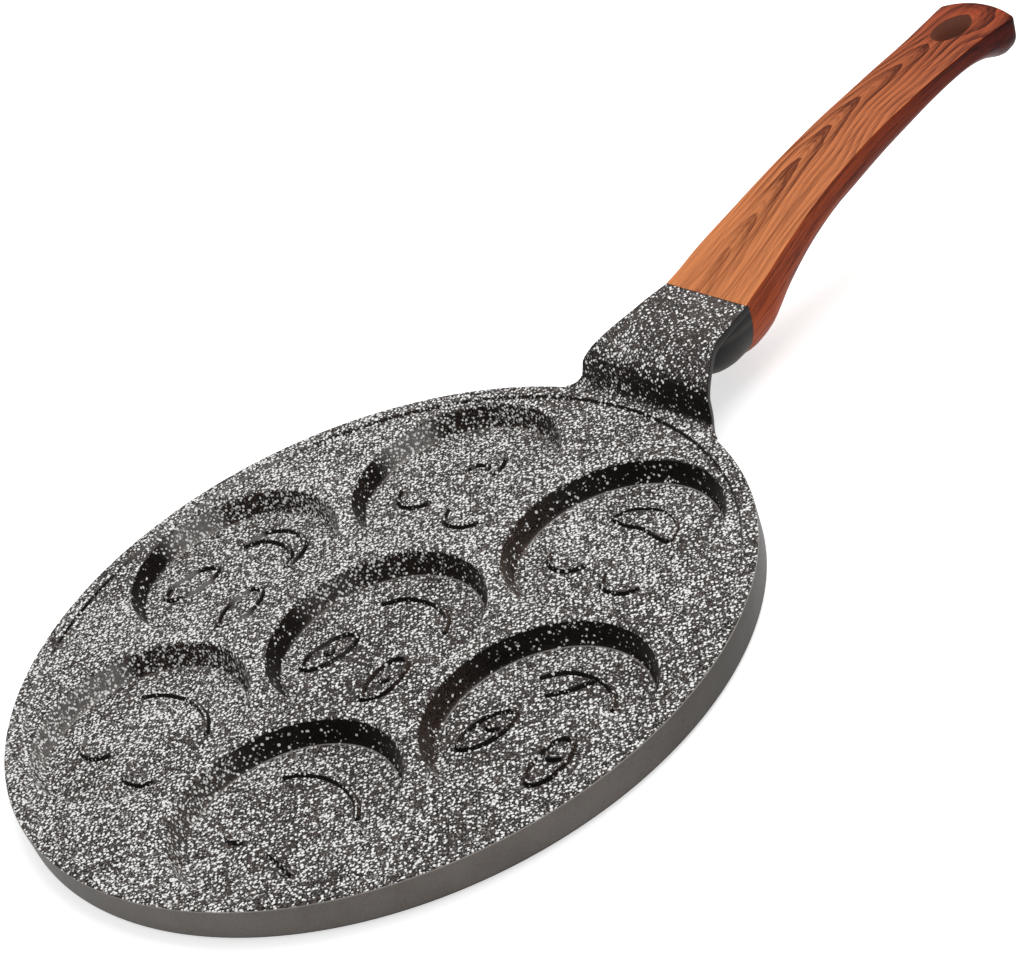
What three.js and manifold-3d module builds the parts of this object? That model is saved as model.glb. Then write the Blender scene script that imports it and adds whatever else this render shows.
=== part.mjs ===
// Seven-cup pancake pan with a wood-look grip, built as separate pieces.
// Millimetres, +Z up, origin at the centre of the flat base, handle along +X.

import * as THREE from 'three';
import { mergeVertices } from 'three/addons/utils/BufferGeometryUtils.js';
import Module from 'manifold-3d';

const wasm = await Module();
wasm.setup();

// Fits shared by all pieces
const touch_gap = 0.3;
const cut_overrun = 5;
const merge_distance = 0.0001;

// Disc of the casting
const disc_radius = 130;
const wall_height = 10.7;
const wall_draft = 0.5;
const base_drop = 1.5;
const base_radius = 118;
const lip_width = 5.5;
const lip_rise = 1.3;
const lip_round = 0.6;
const lip_slope_width = 1.2;

// Cups, one in the middle and a ring of them around it
const cup_radius = 38.8;
const cup_land = 5.6;
const cup_floor_thickness = 3;
const cup_draft = 2.6;
const cup_rim_round = 0.8;
const cup_floor_round = 1.6;
const ring_cups = 6;

// Raised lines of the faces on the cup floors
const rib_width = 2.4;
const rib_height = 1.2;
const pupil_radius = 2.2;
const eye_tilt = 0.2;

// Steel plate pressed into the base, and the pips of the casting that hold it
const plate_radius = 95;
const plate_thickness = 0.8;
const pip_radius = 2;
const pip_first_ring_radius = 30;
const pip_ring_spacing = 25;
const pip_pitch = 30;
const fewest_pips = 3;

// Neck that rises from the disc to the grip
const neck_length = 38.2;
const neck_rise = 20.2;
const neck_root_half_width = 34.5;
const neck_thickness = 2.8;
const neck_root_lead = 0.8;
const neck_root_depth = 8;

// Boss under the neck that meets the front of the grip
const boss_length = 24;

// Tang of the casting inside the grip
const tang_length = 44;
const tang_half_height = 4.5;
const tang_half_width = 8;
const tang_root_length = 10;

// Grip
const grip_length = 158.8;
const grip_front_half_width = 20.6;
const grip_rise = 23.6;
const grip_depth = 28.6;
const grip_facet = 5;
const grip_facet_lean = 0.6;
const grip_crown = 1.8;
const grip_end_radius = 50;

// Hanging hole through the grip
const hole_from_end = 18.3;
const hole_half_length = 8.7;
const hole_half_width = 7.2;
const hole_throat_half_length = 6.2;
const hole_flare_depth = 4.5;

// Fixing screw under the grip, with its two washers
const screw_from_seam = 18;
const screw_radius = 2.5;
const screw_head_radius = 4.6;
const screw_head_height = 3;
const screw_head_round = 1.2;
const screw_socket_radius = 1.9;
const screw_socket_depth = 1.8;
const screw_socket_sides = 6;
const screw_engagement = 6;
const seat_wall = 2.6;
const washer_radius = 5.2;
const washer_thickness = 1;
const spring_ring_radius = 4.7;
const spring_ring_thickness = 1.2;
const spring_ring_split = 1.4;

// Fineness of the meshes
const disc_sides = 80;
const cup_sides = 40;
const small_sides = 24;
const pip_sides = 8;
const round_steps = 2;
const rib_sides = 8;
const rib_steps = 8;
const eye_steps = 20;
const grip_stations = 28;
const boss_stations = 9;
const neck_stations = 14;
const crown_steps = 6;
const belly_steps = 12;

// Heights and places that follow from the sizes above
const lip_top = base_drop + wall_height;
const land_height = lip_top - lip_rise;
const cup_floor_height = cup_floor_thickness;
const cup_floor_radius = cup_radius - cup_draft;
const ring_radius = 2 * cup_radius + cup_land;
const plate_recess_radius = plate_radius + touch_gap;
const plate_recess_depth = plate_thickness + touch_gap;
const seam = disc_radius + neck_length;
const seam_top = lip_top + neck_rise;
const grip_start = seam + touch_gap;
const grip_end = grip_start + grip_length;

// Side view of the neck's top surface: share of the neck's length past the disc, share of its rise
const neck_top_shares = [
  [-0.12, -0.16],
  [-0.065, 0.07],
  [0.03, 0.41],
  [0.19, 0.67],
  [0.42, 0.87],
  [0.71, 0.955],
  [1, 1],
];

// Plan of the neck: share of its length past the disc, share of the way from end width to root width
const neck_width_shares = [
  [-0.2, 1.04],
  [-0.065, 1],
  [0.03, 0.86],
  [0.19, 0.61],
  [0.42, 0.27],
  [0.56, 0.17],
  [0.71, 0.12],
  [1, 0],
];

// Boss: share of its length back from the seam, share of the half width, share of the depth below the neck
const boss_shares = [
  [0, 1, 1],
  [0.28, 0.97, 1.03],
  [0.55, 0.86, 0.97],
  [0.76, 0.68, 0.76],
  [0.92, 0.44, 0.42],
  [1, 0.24, 0.21],
];

// Grip's side facet: share of its full depth at the seam, share of the grip's length where it is full
const facet_front_share = 0.4;
const facet_full_share = 0.1;

// Grip: share of its length, then shares of its front half width, of its rise and of its depth
const grip_shares = [
  [0, 1, 0, 0.916],
  [0.047, 0.964, 0.09, 1.02],
  [0.098, 0.947, 0.19, 1.025],
  [0.135, 0.913, 0.267, 0.95],
  [0.167, 0.888, 0.326, 0.853],
  [0.23, 0.835, 0.436, 0.73],
  [0.293, 0.796, 0.542, 0.65],
  [0.37, 0.757, 0.655, 0.6],
  [0.45, 0.733, 0.75, 0.587],
  [0.545, 0.714, 0.835, 0.54],
  [0.64, 0.709, 0.89, 0.48],
  [0.735, 0.716, 0.936, 0.41],
  [0.81, 0.723, 0.962, 0.378],
  [0.86, 0.738, 0.979, 0.392],
  [0.905, 0.767, 0.992, 0.452],
  [0.94, 0.796, 0.998, 0.53],
  [0.97, 0.828, 1, 0.61],
  [0.987, 0.842, 1, 0.63],
  [1, 0.852, 1, 0.6],
  [1.02, 0.864, 1, 0.48],
];

// Raised lines of the faces, as shares of the cup floor's radius: towards the handle, then to the left
const closed_eye_shares = [[-0.3, 0.13], [-0.43, 0.22], [-0.475, 0.36], [-0.43, 0.52], [-0.31, 0.61]];
const open_eye_shares = { place: [-0.33, 0.42], half_length: 0.29, half_width: 0.15 };
const lid_shares = [[-0.25, 0.31], [-0.31, 0.4], [-0.25, 0.5]];
const small_eye_shares = [[-0.4, 0.46], [-0.45, 0.34], [-0.38, 0.2]];
const wink_shares = [[-0.36, -0.1], [-0.38, -0.3], [-0.42, -0.56]];
const wide_smile_shares = [[0.31, 0.56], [0.45, 0.4], [0.54, 0.05], [0.47, -0.32], [0.31, -0.54]];
const smile_shares = [[0.37, 0.49], [0.55, 0.3], [0.62, 0], [0.55, -0.3], [0.37, -0.47]];
const crescent_inner_shares = [[0.29, 0.38], [0.47, 0.24], [0.53, 0], [0.47, -0.22], [0.29, -0.36]];
const crescent_outer_shares = [[0.31, 0.4], [0.6, 0.3], [0.72, 0], [0.6, -0.28], [0.31, -0.38]];
const laugh_line_shares = [[0.3, 0.42], [0.3, 0.2], [0.33, 0], [0.3, -0.2], [0.29, -0.38]];
const laugh_arc_shares = [[0.31, 0.43], [0.5, 0.32], [0.61, 0], [0.5, -0.28], [0.3, -0.39]];
const tongue_shares = [[0.23, 0.26], [0.36, 0.13], [0.5, 0.03], [0.59, -0.03]];
const kiss_upper_shares = [[0.22, 0.17], [0.33, 0.12], [0.36, 0.02], [0.29, -0.05]];
const kiss_lower_shares = [[0.27, -0.16], [0.4, -0.14], [0.53, -0.05]];

// Helpers that turn three.js geometry into solids and back

function solid_of(geometry) {
  const bare = geometry.clone();
  bare.deleteAttribute('normal');
  bare.deleteAttribute('uv');
  const merged = mergeVertices(bare, merge_distance);
  const corners = merged.index.array;
  const kept = [];
  for (let i = 0; i < corners.length; i += 3) {
    const [a, b, c] = corners.slice(i, i + 3);
    if (a !== b && b !== c && c !== a) kept.push(a, b, c);
  }
  return new wasm.Manifold(new wasm.Mesh({
    numProp: 3,
    vertProperties: new Float32Array(merged.attributes.position.array),
    triVerts: new Uint32Array(kept),
  }));
}

function geometry_of(solid) {
  const mesh = solid.getMesh();
  const geometry = new THREE.BufferGeometry();
  geometry.setAttribute('position', new THREE.BufferAttribute(mesh.vertProperties, 3));
  geometry.setIndex(new THREE.BufferAttribute(mesh.triVerts, 1));
  geometry.computeVertexNormals();
  return geometry;
}

// A profile of radius and height, turned about the vertical axis
function turned(profile, sides) {
  const geometry = new THREE.LatheGeometry(profile, sides);
  geometry.rotateX(Math.PI / 2);
  return solid_of(geometry);
}

// An outline drawn in plan, standing from one height to another
function upright(outline, low, high) {
  const geometry = new THREE.ExtrudeGeometry(outline, { depth: high - low, bevelEnabled: false });
  geometry.translate(0, 0, low);
  return solid_of(geometry);
}

// An outline drawn in side view, as wide as twice the half width
function crosswise(outline, half_width) {
  const geometry = new THREE.ExtrudeGeometry(outline, { depth: 2 * half_width, bevelEnabled: false });
  geometry.rotateX(Math.PI / 2);
  geometry.translate(0, half_width, 0);
  return solid_of(geometry);
}

function peg(radius, low, high, sides) {
  const geometry = new THREE.CylinderGeometry(radius, radius, high - low, sides);
  geometry.rotateX(Math.PI / 2);
  geometry.translate(0, 0, (low + high) / 2);
  return solid_of(geometry);
}

// Closed rings of points, skinned in order and closed at both ends
function lofted(rings) {
  const count = rings[0].length;
  const positions = rings.flat().flatMap((point) => point.toArray());
  const corners = [];
  for (let k = 0; k + 1 < rings.length; k += 1) {
    for (let i = 0; i < count; i += 1) {
      const next = (i + 1) % count;
      const a = k * count + i;
      const b = k * count + next;
      const c = (k + 1) * count + i;
      const d = (k + 1) * count + next;
      corners.push(a, b, d, a, d, c);
    }
  }
  for (let i = 1; i + 1 < count; i += 1) {
    const last = (rings.length - 1) * count;
    corners.push(0, i + 1, i);
    corners.push(last, last + i, last + i + 1);
  }
  const geometry = new THREE.BufferGeometry();
  geometry.setAttribute('position', new THREE.Float32BufferAttribute(positions, 3));
  geometry.setIndex(corners);
  return solid_of(geometry);
}

// Smooth value of one column of a table whose first column is the share along
function share_at(rows, column, along) {
  const last = rows.length - 1;
  let i = 0;
  while (i + 1 < last && rows[i + 1][0] < along) i += 1;
  const slope = (k) => {
    const before = rows[Math.max(k - 1, 0)];
    const after = rows[Math.min(k + 1, last)];
    return (after[column] - before[column]) / (after[0] - before[0]);
  };
  const span = rows[i + 1][0] - rows[i][0];
  const t = (along - rows[i][0]) / span;
  const start = rows[i][column];
  const end = rows[i + 1][column];
  const bend = (start - end) * 2 + (slope(i) + slope(i + 1)) * span;
  const lean = (end - start) * 3 - (2 * slope(i) + slope(i + 1)) * span;
  return start + t * (slope(i) * span + t * (lean + t * bend));
}

// Across the handle: a crowned top, a side facet under each edge and a round belly
function handle_section(along, half_width, edge, bottom, facet, crown) {
  const ring = [];
  for (let i = 0; i <= crown_steps; i += 1) {
    const across = 1 - (2 * i) / crown_steps;
    ring.push(new THREE.Vector3(along, half_width * across, edge + crown * (1 - across * across)));
  }
  const belly_half_width = half_width - (grip_facet_lean * facet) / grip_facet;
  const belly_top = edge - facet;
  for (let i = 0; i <= belly_steps; i += 1) {
    const turn = (Math.PI * i) / belly_steps;
    const across = -belly_half_width * Math.cos(turn);
    ring.push(new THREE.Vector3(along, across, belly_top - (belly_top - bottom) * Math.sin(turn)));
  }
  return ring;
}

// Disc with its raised lip

function disc_solid() {
  const profile = new THREE.Path();
  profile.moveTo(0, 0);
  profile.lineTo(base_radius, 0);
  profile.lineTo(disc_radius - wall_draft, base_drop);
  profile.lineTo(disc_radius, lip_top - lip_round);
  profile.quadraticCurveTo(disc_radius, lip_top, disc_radius - lip_round, lip_top);
  profile.lineTo(disc_radius - lip_width, lip_top);
  profile.lineTo(disc_radius - lip_width - lip_slope_width, land_height);
  profile.lineTo(0, land_height);
  return turned(profile.getPoints(round_steps), disc_sides);
}

function cup_centres() {
  const centres = [new THREE.Vector2(0, 0)];
  for (let i = 0; i < ring_cups; i += 1) {
    const turn = ((i + 0.5) * 2 * Math.PI) / ring_cups;
    centres.push(new THREE.Vector2(ring_radius * Math.cos(turn), ring_radius * Math.sin(turn)));
  }
  return centres;
}

function cup_hollow() {
  const wall_run = cup_draft / (land_height - cup_floor_height);
  const profile = new THREE.Path();
  profile.moveTo(0, cup_floor_height);
  profile.lineTo(cup_floor_radius - cup_floor_round, cup_floor_height);
  profile.quadraticCurveTo(
    cup_floor_radius,
    cup_floor_height,
    cup_floor_radius + wall_run * cup_floor_round,
    cup_floor_height + cup_floor_round,
  );
  profile.lineTo(cup_radius - wall_run * cup_rim_round, land_height - cup_rim_round);
  profile.quadraticCurveTo(cup_radius, land_height, cup_radius + cup_rim_round, land_height);
  profile.lineTo(cup_radius + cup_rim_round, land_height + cut_overrun);
  profile.lineTo(0, land_height + cut_overrun);
  return turned(profile.getPoints(round_steps), cup_sides);
}

// Faces on the cup floors

function on_floor(centre, shares) {
  return new THREE.Vector3(
    centre.x + shares[0] * cup_floor_radius,
    centre.y + shares[1] * cup_floor_radius,
    cup_floor_height,
  );
}

function mirrored(shares) {
  return shares.map(([along, across]) => [along, -across]);
}

// A raised line through the given places: an oval bar that is half sunk in the floor
function rib(centre, shares) {
  const section = [];
  for (let i = 0; i < rib_sides; i += 1) {
    const turn = (2 * Math.PI * i) / rib_sides;
    section.push(new THREE.Vector2(rib_height * Math.cos(turn), (rib_width / 2) * Math.sin(turn)));
  }
  const path = new THREE.CatmullRomCurve3(shares.map((place) => on_floor(centre, place)));
  const geometry = new THREE.ExtrudeGeometry(new THREE.Shape(section), {
    steps: rib_steps,
    extrudePath: path,
  });
  return solid_of(geometry);
}

// An oval ring that is half sunk in the floor, leaning out by the eye tilt
function eye_ring(centre, side) {
  const half_length = open_eye_shares.half_length * cup_floor_radius;
  const half_width = open_eye_shares.half_width * cup_floor_radius;
  const geometry = new THREE.TorusGeometry(half_length, rib_width / 2, rib_sides, eye_steps);
  geometry.scale(1, half_width / half_length, rib_height / (rib_width / 2));
  geometry.rotateZ(-side * eye_tilt);
  const [along, across] = open_eye_shares.place;
  const place = on_floor(centre, [along, side * across]);
  geometry.translate(place.x, place.y, place.z);
  return solid_of(geometry);
}

function pupil(centre, side) {
  const geometry = new THREE.SphereGeometry(pupil_radius, rib_sides, rib_sides);
  geometry.scale(1, 1, rib_height / pupil_radius);
  const [along, across] = open_eye_shares.place;
  const place = on_floor(centre, [along, side * across]);
  geometry.translate(place.x, place.y, place.z);
  return solid_of(geometry);
}

function closed_eyes(centre) {
  return [rib(centre, closed_eye_shares), rib(centre, mirrored(closed_eye_shares))];
}

function open_eyes(centre) {
  return [eye_ring(centre, 1), eye_ring(centre, -1)];
}

// One face for each cup, in the order of the cup centres
const faces = [
  (centre) => [...open_eyes(centre), pupil(centre, 1), pupil(centre, -1), rib(centre, smile_shares)],
  (centre) => [...closed_eyes(centre), rib(centre, kiss_upper_shares), rib(centre, kiss_lower_shares)],
  (centre) => [
    ...open_eyes(centre),
    rib(centre, crescent_inner_shares),
    rib(centre, crescent_outer_shares),
  ],
  (centre) => [...closed_eyes(centre), rib(centre, wide_smile_shares)],
  (centre) => [rib(centre, small_eye_shares), rib(centre, wink_shares), rib(centre, wide_smile_shares)],
  (centre) => [
    ...open_eyes(centre),
    rib(centre, lid_shares),
    rib(centre, mirrored(lid_shares)),
    rib(centre, smile_shares),
    rib(centre, tongue_shares),
  ],
  (centre) => [...closed_eyes(centre), rib(centre, laugh_line_shares), rib(centre, laugh_arc_shares)],
];

// Places of the pips that come through the steel plate

function pip_places() {
  const places = [];
  const edge = plate_radius - 2 * pip_radius;
  for (let radius = pip_first_ring_radius; radius < edge; radius += pip_ring_spacing) {
    const count = Math.max(fewest_pips, Math.round((2 * Math.PI * radius) / pip_pitch));
    for (let i = 0; i < count; i += 1) {
      const turn = (2 * Math.PI * i) / count;
      places.push([radius * Math.cos(turn), radius * Math.sin(turn)]);
    }
  }
  return places;
}

// Neck: its side view cut to its plan

function neck_half_width(along) {
  const share = share_at(neck_width_shares, 1, along);
  return grip_front_half_width + share * (neck_root_half_width - grip_front_half_width);
}

function neck_top_curve() {
  return new THREE.SplineCurve(neck_top_shares.map(([along, rise]) => new THREE.Vector2(
    disc_radius + along * neck_length,
    lip_top + rise * neck_rise,
  )));
}

function neck_solid() {
  const top = neck_top_curve();
  const upper = [];
  const lower = [];
  for (let i = 0; i <= neck_stations; i += 1) {
    const point = top.getPoint(i / neck_stations);
    const heading = i === neck_stations ? new THREE.Vector2(1, 0) : top.getTangent(i / neck_stations);
    upper.push(point);
    const inward = new THREE.Vector2(heading.y, -heading.x).multiplyScalar(neck_thickness);
    lower.push(point.clone().add(inward));
  }
  const clear_of_wall = lower.filter((point) => point.x > disc_radius + neck_root_lead);
  const root_outside = new THREE.Vector2(disc_radius + neck_root_lead, lip_top - neck_root_depth / 2);
  const root_inside = new THREE.Vector2(disc_radius - neck_root_depth, lip_top - neck_root_depth / 2);
  const root_top = new THREE.Vector2(disc_radius - neck_root_depth, upper[0].y);
  const side = new THREE.Shape([...upper, ...clear_of_wall.reverse(), root_outside, root_inside, root_top]);

  const plan_points = [];
  const first = neck_width_shares[0][0];
  for (let i = 0; i <= neck_stations; i += 1) {
    const along = first + ((1 - first) * i) / neck_stations;
    plan_points.push(new THREE.Vector2(disc_radius + along * neck_length, neck_half_width(along)));
  }
  const far_side = plan_points.map((point) => new THREE.Vector2(point.x, -point.y)).reverse();
  const plan = new THREE.Shape([...far_side, ...plan_points]);
  const side_bar = crosswise(side, neck_root_half_width * neck_width_shares[0][1]);
  return side_bar.intersect(upright(plan, 0, seam_top + cut_overrun));
}

// Boss under the neck, with the grip's front section where they meet

function boss_solid() {
  const mid_plate = seam_top - neck_thickness / 2;
  const rings = [];
  for (let i = 0; i <= boss_stations; i += 1) {
    const back = 1 - i / boss_stations;
    const x = seam - boss_length * back;
    const neck_top = lip_top + neck_rise * share_at(neck_top_shares, 1, (x - disc_radius) / neck_length);
    const half_width = grip_front_half_width * share_at(boss_shares, 1, back);
    const depth = (mid_plate - grip_bottom(0)) * share_at(boss_shares, 2, back);
    rings.push(handle_section(x, half_width, neck_top - neck_thickness / 2, mid_plate - depth, 0, 0));
  }
  return lofted(rings);
}

// Grip

function grip_half_width(along) {
  return grip_front_half_width * share_at(grip_shares, 1, along);
}

function grip_edge(along) {
  return seam_top + grip_rise * share_at(grip_shares, 2, along);
}

function grip_bottom(along) {
  return grip_edge(along) - grip_depth * share_at(grip_shares, 3, along);
}

function grip_middle(along) {
  return (grip_edge(along) + grip_bottom(along)) / 2;
}

// Straight bar along the grip's middle line, from a start to an end measured past the seam
function tang_bar(start, end, margin) {
  const slope = (grip_middle(tang_length / grip_length) - grip_middle(0)) / tang_length;
  const half = tang_half_height + margin;
  const height = (past) => grip_middle(0) + slope * past;
  const outline = new THREE.Shape([
    new THREE.Vector2(seam + start, height(start) - half),
    new THREE.Vector2(seam + end, height(end) - half),
    new THREE.Vector2(seam + end, height(end) + half),
    new THREE.Vector2(seam + start, height(start) + half),
  ]);
  return crosswise(outline, tang_half_width + margin);
}

function tang_underside(past) {
  const slope = (grip_middle(tang_length / grip_length) - grip_middle(0)) / tang_length;
  return grip_middle(0) + slope * past - tang_half_height;
}

// Heights of the screw and its washers, from the seat downwards
const seat_height = tang_underside(screw_from_seam - washer_radius) - touch_gap - seat_wall;
const washer_top = seat_height - touch_gap;
const spring_ring_top = washer_top - washer_thickness - touch_gap;
const screw_head_top = spring_ring_top - spring_ring_thickness - touch_gap;
const screw_tip = tang_underside(screw_from_seam) + screw_engagement;
const screw_place = [seam + screw_from_seam, 0];

function grip_end_outline() {
  const centre = grip_end - grip_end_radius;
  const outline = new THREE.Shape();
  outline.moveTo(seam - cut_overrun, -grip_end_radius);
  outline.lineTo(centre, -grip_end_radius);
  outline.absarc(centre, 0, grip_end_radius, -Math.PI / 2, Math.PI / 2, false);
  outline.lineTo(seam - cut_overrun, grip_end_radius);
  return outline;
}

function hanging_hole() {
  const along = (grip_length - hole_from_end) / grip_length;
  const top = grip_edge(along) + grip_crown * along;
  const bottom = grip_bottom(along);
  const widening = (hole_half_length - hole_throat_half_length) / hole_flare_depth;
  const over = hole_half_length + widening * cut_overrun;
  const profile = [
    new THREE.Vector2(0, bottom - cut_overrun),
    new THREE.Vector2(over, bottom - cut_overrun),
    new THREE.Vector2(hole_throat_half_length, bottom + hole_flare_depth),
    new THREE.Vector2(hole_throat_half_length, top - hole_flare_depth),
    new THREE.Vector2(over, top + cut_overrun),
    new THREE.Vector2(0, top + cut_overrun),
  ];
  const geometry = new THREE.LatheGeometry(profile, small_sides);
  geometry.rotateX(Math.PI / 2);
  geometry.scale(1, hole_half_width / hole_half_length, 1);
  geometry.translate(grip_end - hole_from_end, 0, 0);
  return solid_of(geometry);
}

function grip_solid() {
  const rings = [];
  const last = grip_shares[grip_shares.length - 1][0];
  for (let i = 0; i <= grip_stations; i += 1) {
    const along = (last * i) / grip_stations;
    const facet_share = facet_front_share + (1 - facet_front_share) * (along / facet_full_share);
    rings.push(handle_section(
      grip_start + along * grip_length,
      grip_half_width(along),
      grip_edge(along),
      grip_bottom(along),
      grip_facet * Math.min(1, facet_share),
      grip_crown * along,
    ));
  }
  const counterbore = peg(washer_radius + touch_gap, 0, seat_height, small_sides);
  const clearance_hole = peg(screw_radius + touch_gap, 0, screw_tip, small_sides);
  return lofted(rings)
    .intersect(upright(grip_end_outline(), 0, seam_top + grip_rise + grip_crown + cut_overrun))
    .subtract(tang_bar(-cut_overrun, tang_length + touch_gap, touch_gap))
    .subtract(counterbore.translate(...screw_place, 0))
    .subtract(clearance_hole.translate(...screw_place, 0))
    .subtract(hanging_hole());
}

// Whole casting

function casting_solid() {
  let casting = disc_solid();
  casting = casting.add(neck_solid()).add(boss_solid()).add(tang_bar(-tang_root_length, tang_length, 0));
  const hollow = cup_hollow();
  cup_centres().forEach((centre, i) => {
    casting = casting.subtract(hollow.translate(centre.x, centre.y, 0));
    const ribs = faces[i % faces.length](centre);
    ribs.forEach((line) => {
      casting = casting.add(line);
    });
  });
  casting = casting.subtract(peg(plate_recess_radius, -cut_overrun, plate_recess_depth, disc_sides));
  pip_places().forEach(([x, y]) => {
    casting = casting.add(peg(pip_radius, 0, plate_recess_depth + touch_gap, pip_sides).translate(x, y, 0));
  });
  const screw_hole = peg(screw_radius + touch_gap, 0, screw_tip + touch_gap, small_sides);
  return casting.subtract(screw_hole.translate(...screw_place, 0));
}

// Steel plate in the base

function base_plate_solid() {
  let plate = peg(plate_radius, 0, plate_thickness, disc_sides);
  pip_places().forEach(([x, y]) => {
    const hole = peg(pip_radius + touch_gap, -cut_overrun, cut_overrun, pip_sides);
    plate = plate.subtract(hole.translate(x, y, 0));
  });
  return plate;
}

// Screw and washers

function screw_solid() {
  const head_bottom = screw_head_top - screw_head_height;
  const profile = new THREE.Path();
  profile.moveTo(0, head_bottom);
  profile.lineTo(screw_head_radius - screw_head_round, head_bottom);
  profile.quadraticCurveTo(
    screw_head_radius,
    head_bottom,
    screw_head_radius,
    head_bottom + screw_head_round,
  );
  profile.lineTo(screw_head_radius, screw_head_top);
  profile.lineTo(screw_radius, screw_head_top);
  profile.lineTo(screw_radius, screw_tip);
  profile.lineTo(0, screw_tip);
  const socket_top = head_bottom + screw_socket_depth;
  const socket = peg(screw_socket_radius, head_bottom - cut_overrun, socket_top, screw_socket_sides);
  return turned(profile.getPoints(round_steps), small_sides).subtract(socket).translate(...screw_place, 0);
}

function washer_solid() {
  const inner = screw_radius + touch_gap;
  const low = washer_top - washer_thickness;
  const ring = peg(washer_radius - touch_gap, low, washer_top, small_sides);
  return ring
    .subtract(peg(inner, low - cut_overrun, washer_top + cut_overrun, small_sides))
    .translate(...screw_place, 0);
}

function spring_ring_solid() {
  const inner = screw_radius + touch_gap;
  const half_split = spring_ring_split / 2;
  const outer_turn = Math.asin(half_split / spring_ring_radius);
  const inner_turn = Math.asin(half_split / inner);
  const outline = new THREE.Shape();
  outline.absarc(0, 0, spring_ring_radius, outer_turn, 2 * Math.PI - outer_turn, false);
  outline.absarc(0, 0, inner, 2 * Math.PI - inner_turn, inner_turn, true);
  const low = spring_ring_top - spring_ring_thickness;
  return upright(outline, low, spring_ring_top).translate(...screw_place, 0);
}

// Materials

const finishes = {
  granite_coating: new THREE.MeshStandardMaterial({ color: 0x57524f, roughness: 0.6, metalness: 0.1 }),
  brushed_steel: new THREE.MeshStandardMaterial({ color: 0xb9b8b4, roughness: 0.35, metalness: 1 }),
  wood_look_grip: new THREE.MeshStandardMaterial({ color: 0xa8633c, roughness: 0.45, metalness: 0 }),
  zinc_steel: new THREE.MeshStandardMaterial({ color: 0x9a9c9f, roughness: 0.4, metalness: 1 }),
};

function piece(name, solid, finish) {
  const mesh = new THREE.Mesh(geometry_of(solid), finish);
  mesh.name = name;
  return mesh;
}

const pan = new THREE.Group();
pan.add(piece('pan_body', casting_solid(), finishes.granite_coating));
pan.add(piece('base_plate', base_plate_solid(), finishes.brushed_steel));
pan.add(piece('handle_grip', grip_solid(), finishes.wood_look_grip));
pan.add(piece('handle_screw', screw_solid(), finishes.zinc_steel));
pan.add(piece('spring_washer', spring_ring_solid(), finishes.zinc_steel));
pan.add(piece('flat_washer', washer_solid(), finishes.zinc_steel));

export default pan;
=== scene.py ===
import math

import bpy
from mathutils import Euler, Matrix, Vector


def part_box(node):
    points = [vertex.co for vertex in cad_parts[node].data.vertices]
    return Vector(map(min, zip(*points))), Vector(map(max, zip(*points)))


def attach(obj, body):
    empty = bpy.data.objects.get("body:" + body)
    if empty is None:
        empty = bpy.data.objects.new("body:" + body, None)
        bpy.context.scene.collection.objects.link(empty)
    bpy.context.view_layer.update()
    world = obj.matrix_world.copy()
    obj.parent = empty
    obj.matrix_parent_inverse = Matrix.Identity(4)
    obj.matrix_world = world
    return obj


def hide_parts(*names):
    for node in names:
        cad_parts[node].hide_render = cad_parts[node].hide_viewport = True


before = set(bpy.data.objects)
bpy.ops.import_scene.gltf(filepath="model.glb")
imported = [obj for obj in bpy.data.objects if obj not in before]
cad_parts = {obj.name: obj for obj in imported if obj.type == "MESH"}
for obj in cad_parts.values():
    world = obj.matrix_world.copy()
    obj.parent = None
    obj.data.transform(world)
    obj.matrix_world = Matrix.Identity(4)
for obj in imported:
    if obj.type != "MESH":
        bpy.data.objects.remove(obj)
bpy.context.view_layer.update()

bl_info = {
    "name": "Pancake Pan",
    "version": (1, 0, 0),
    "blender": (4, 5, 0),
    "location": "View3D > Sidebar > Pan",
    "description": "Models and finishes a seven-cup pancake pan with a wood-look grip",
    "category": "Add Mesh",
}

MM = 0.001

# Corners of the pieces of the frame
CASTING_LOW, CASTING_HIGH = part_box("pan_body")
PLATE_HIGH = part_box("base_plate")[1]
GRIP_LOW, GRIP_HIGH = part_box("handle_grip")
SCREW_LOW, SCREW_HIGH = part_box("handle_screw")
WASHER_LOW, WASHER_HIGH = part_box("flat_washer")
SCREW_MIDDLE = (SCREW_LOW + SCREW_HIGH).xy / 2

# Fineness of the meshes
DISC_STEPS = 240
CUP_STEPS = 144
SMALL_STEPS = 48
CORNER_STEPS = 5
STROKE_STEPS = 12
EYE_STEPS = 56
RIB_POINTS = 13
CURVE_STEPS = 8
BOSS_STATIONS = 26
BELLY_STEPS = 40
CROWN_STEPS = 12
GRIP_STATIONS = 110
CAP_STEPS = 6

# Clearances, and how far a cutter runs past what it cuts
FIT = 0.3 * MM
OVERRUN = 5 * MM
SKIM = 0.03 * MM
MERGE = 0.002 * MM
SMOOTH_ANGLE = math.radians(32)

# Roundings of the casting, from its base up to the rims of its cups and its neck
RECESS_EDGE = 0.25 * MM
BASE_EDGE = 1.2 * MM
FOOT_EDGE = 0.8 * MM
LIP_EDGE = 0.7 * MM
LAND_EDGE = 0.5 * MM
FLOOR_EDGE = 1.5 * MM
RIM_EDGE = 0.9 * MM
RIM_MARGIN = 1 * MM
NECK_EDGE = 0.7 * MM

# Pips of the casting that hold the steel plate
PIP_RADIUS = 2 * MM
PIP_PITCH = 30 * MM
PIP_RING_RADII = (30 * MM, 55 * MM, 80 * MM)
PLATE_EDGE = 0.2 * MM

# Tang inside the grip, and the hole for its screw
TANG_LENGTH = 44 * MM
TANG_SUNK = 10 * MM
TANG_HALF_WIDTH = 8 * MM
TANG_HALF_HEIGHT = 4.5 * MM
SCREW_HOLE_RADIUS = 2.8 * MM

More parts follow.
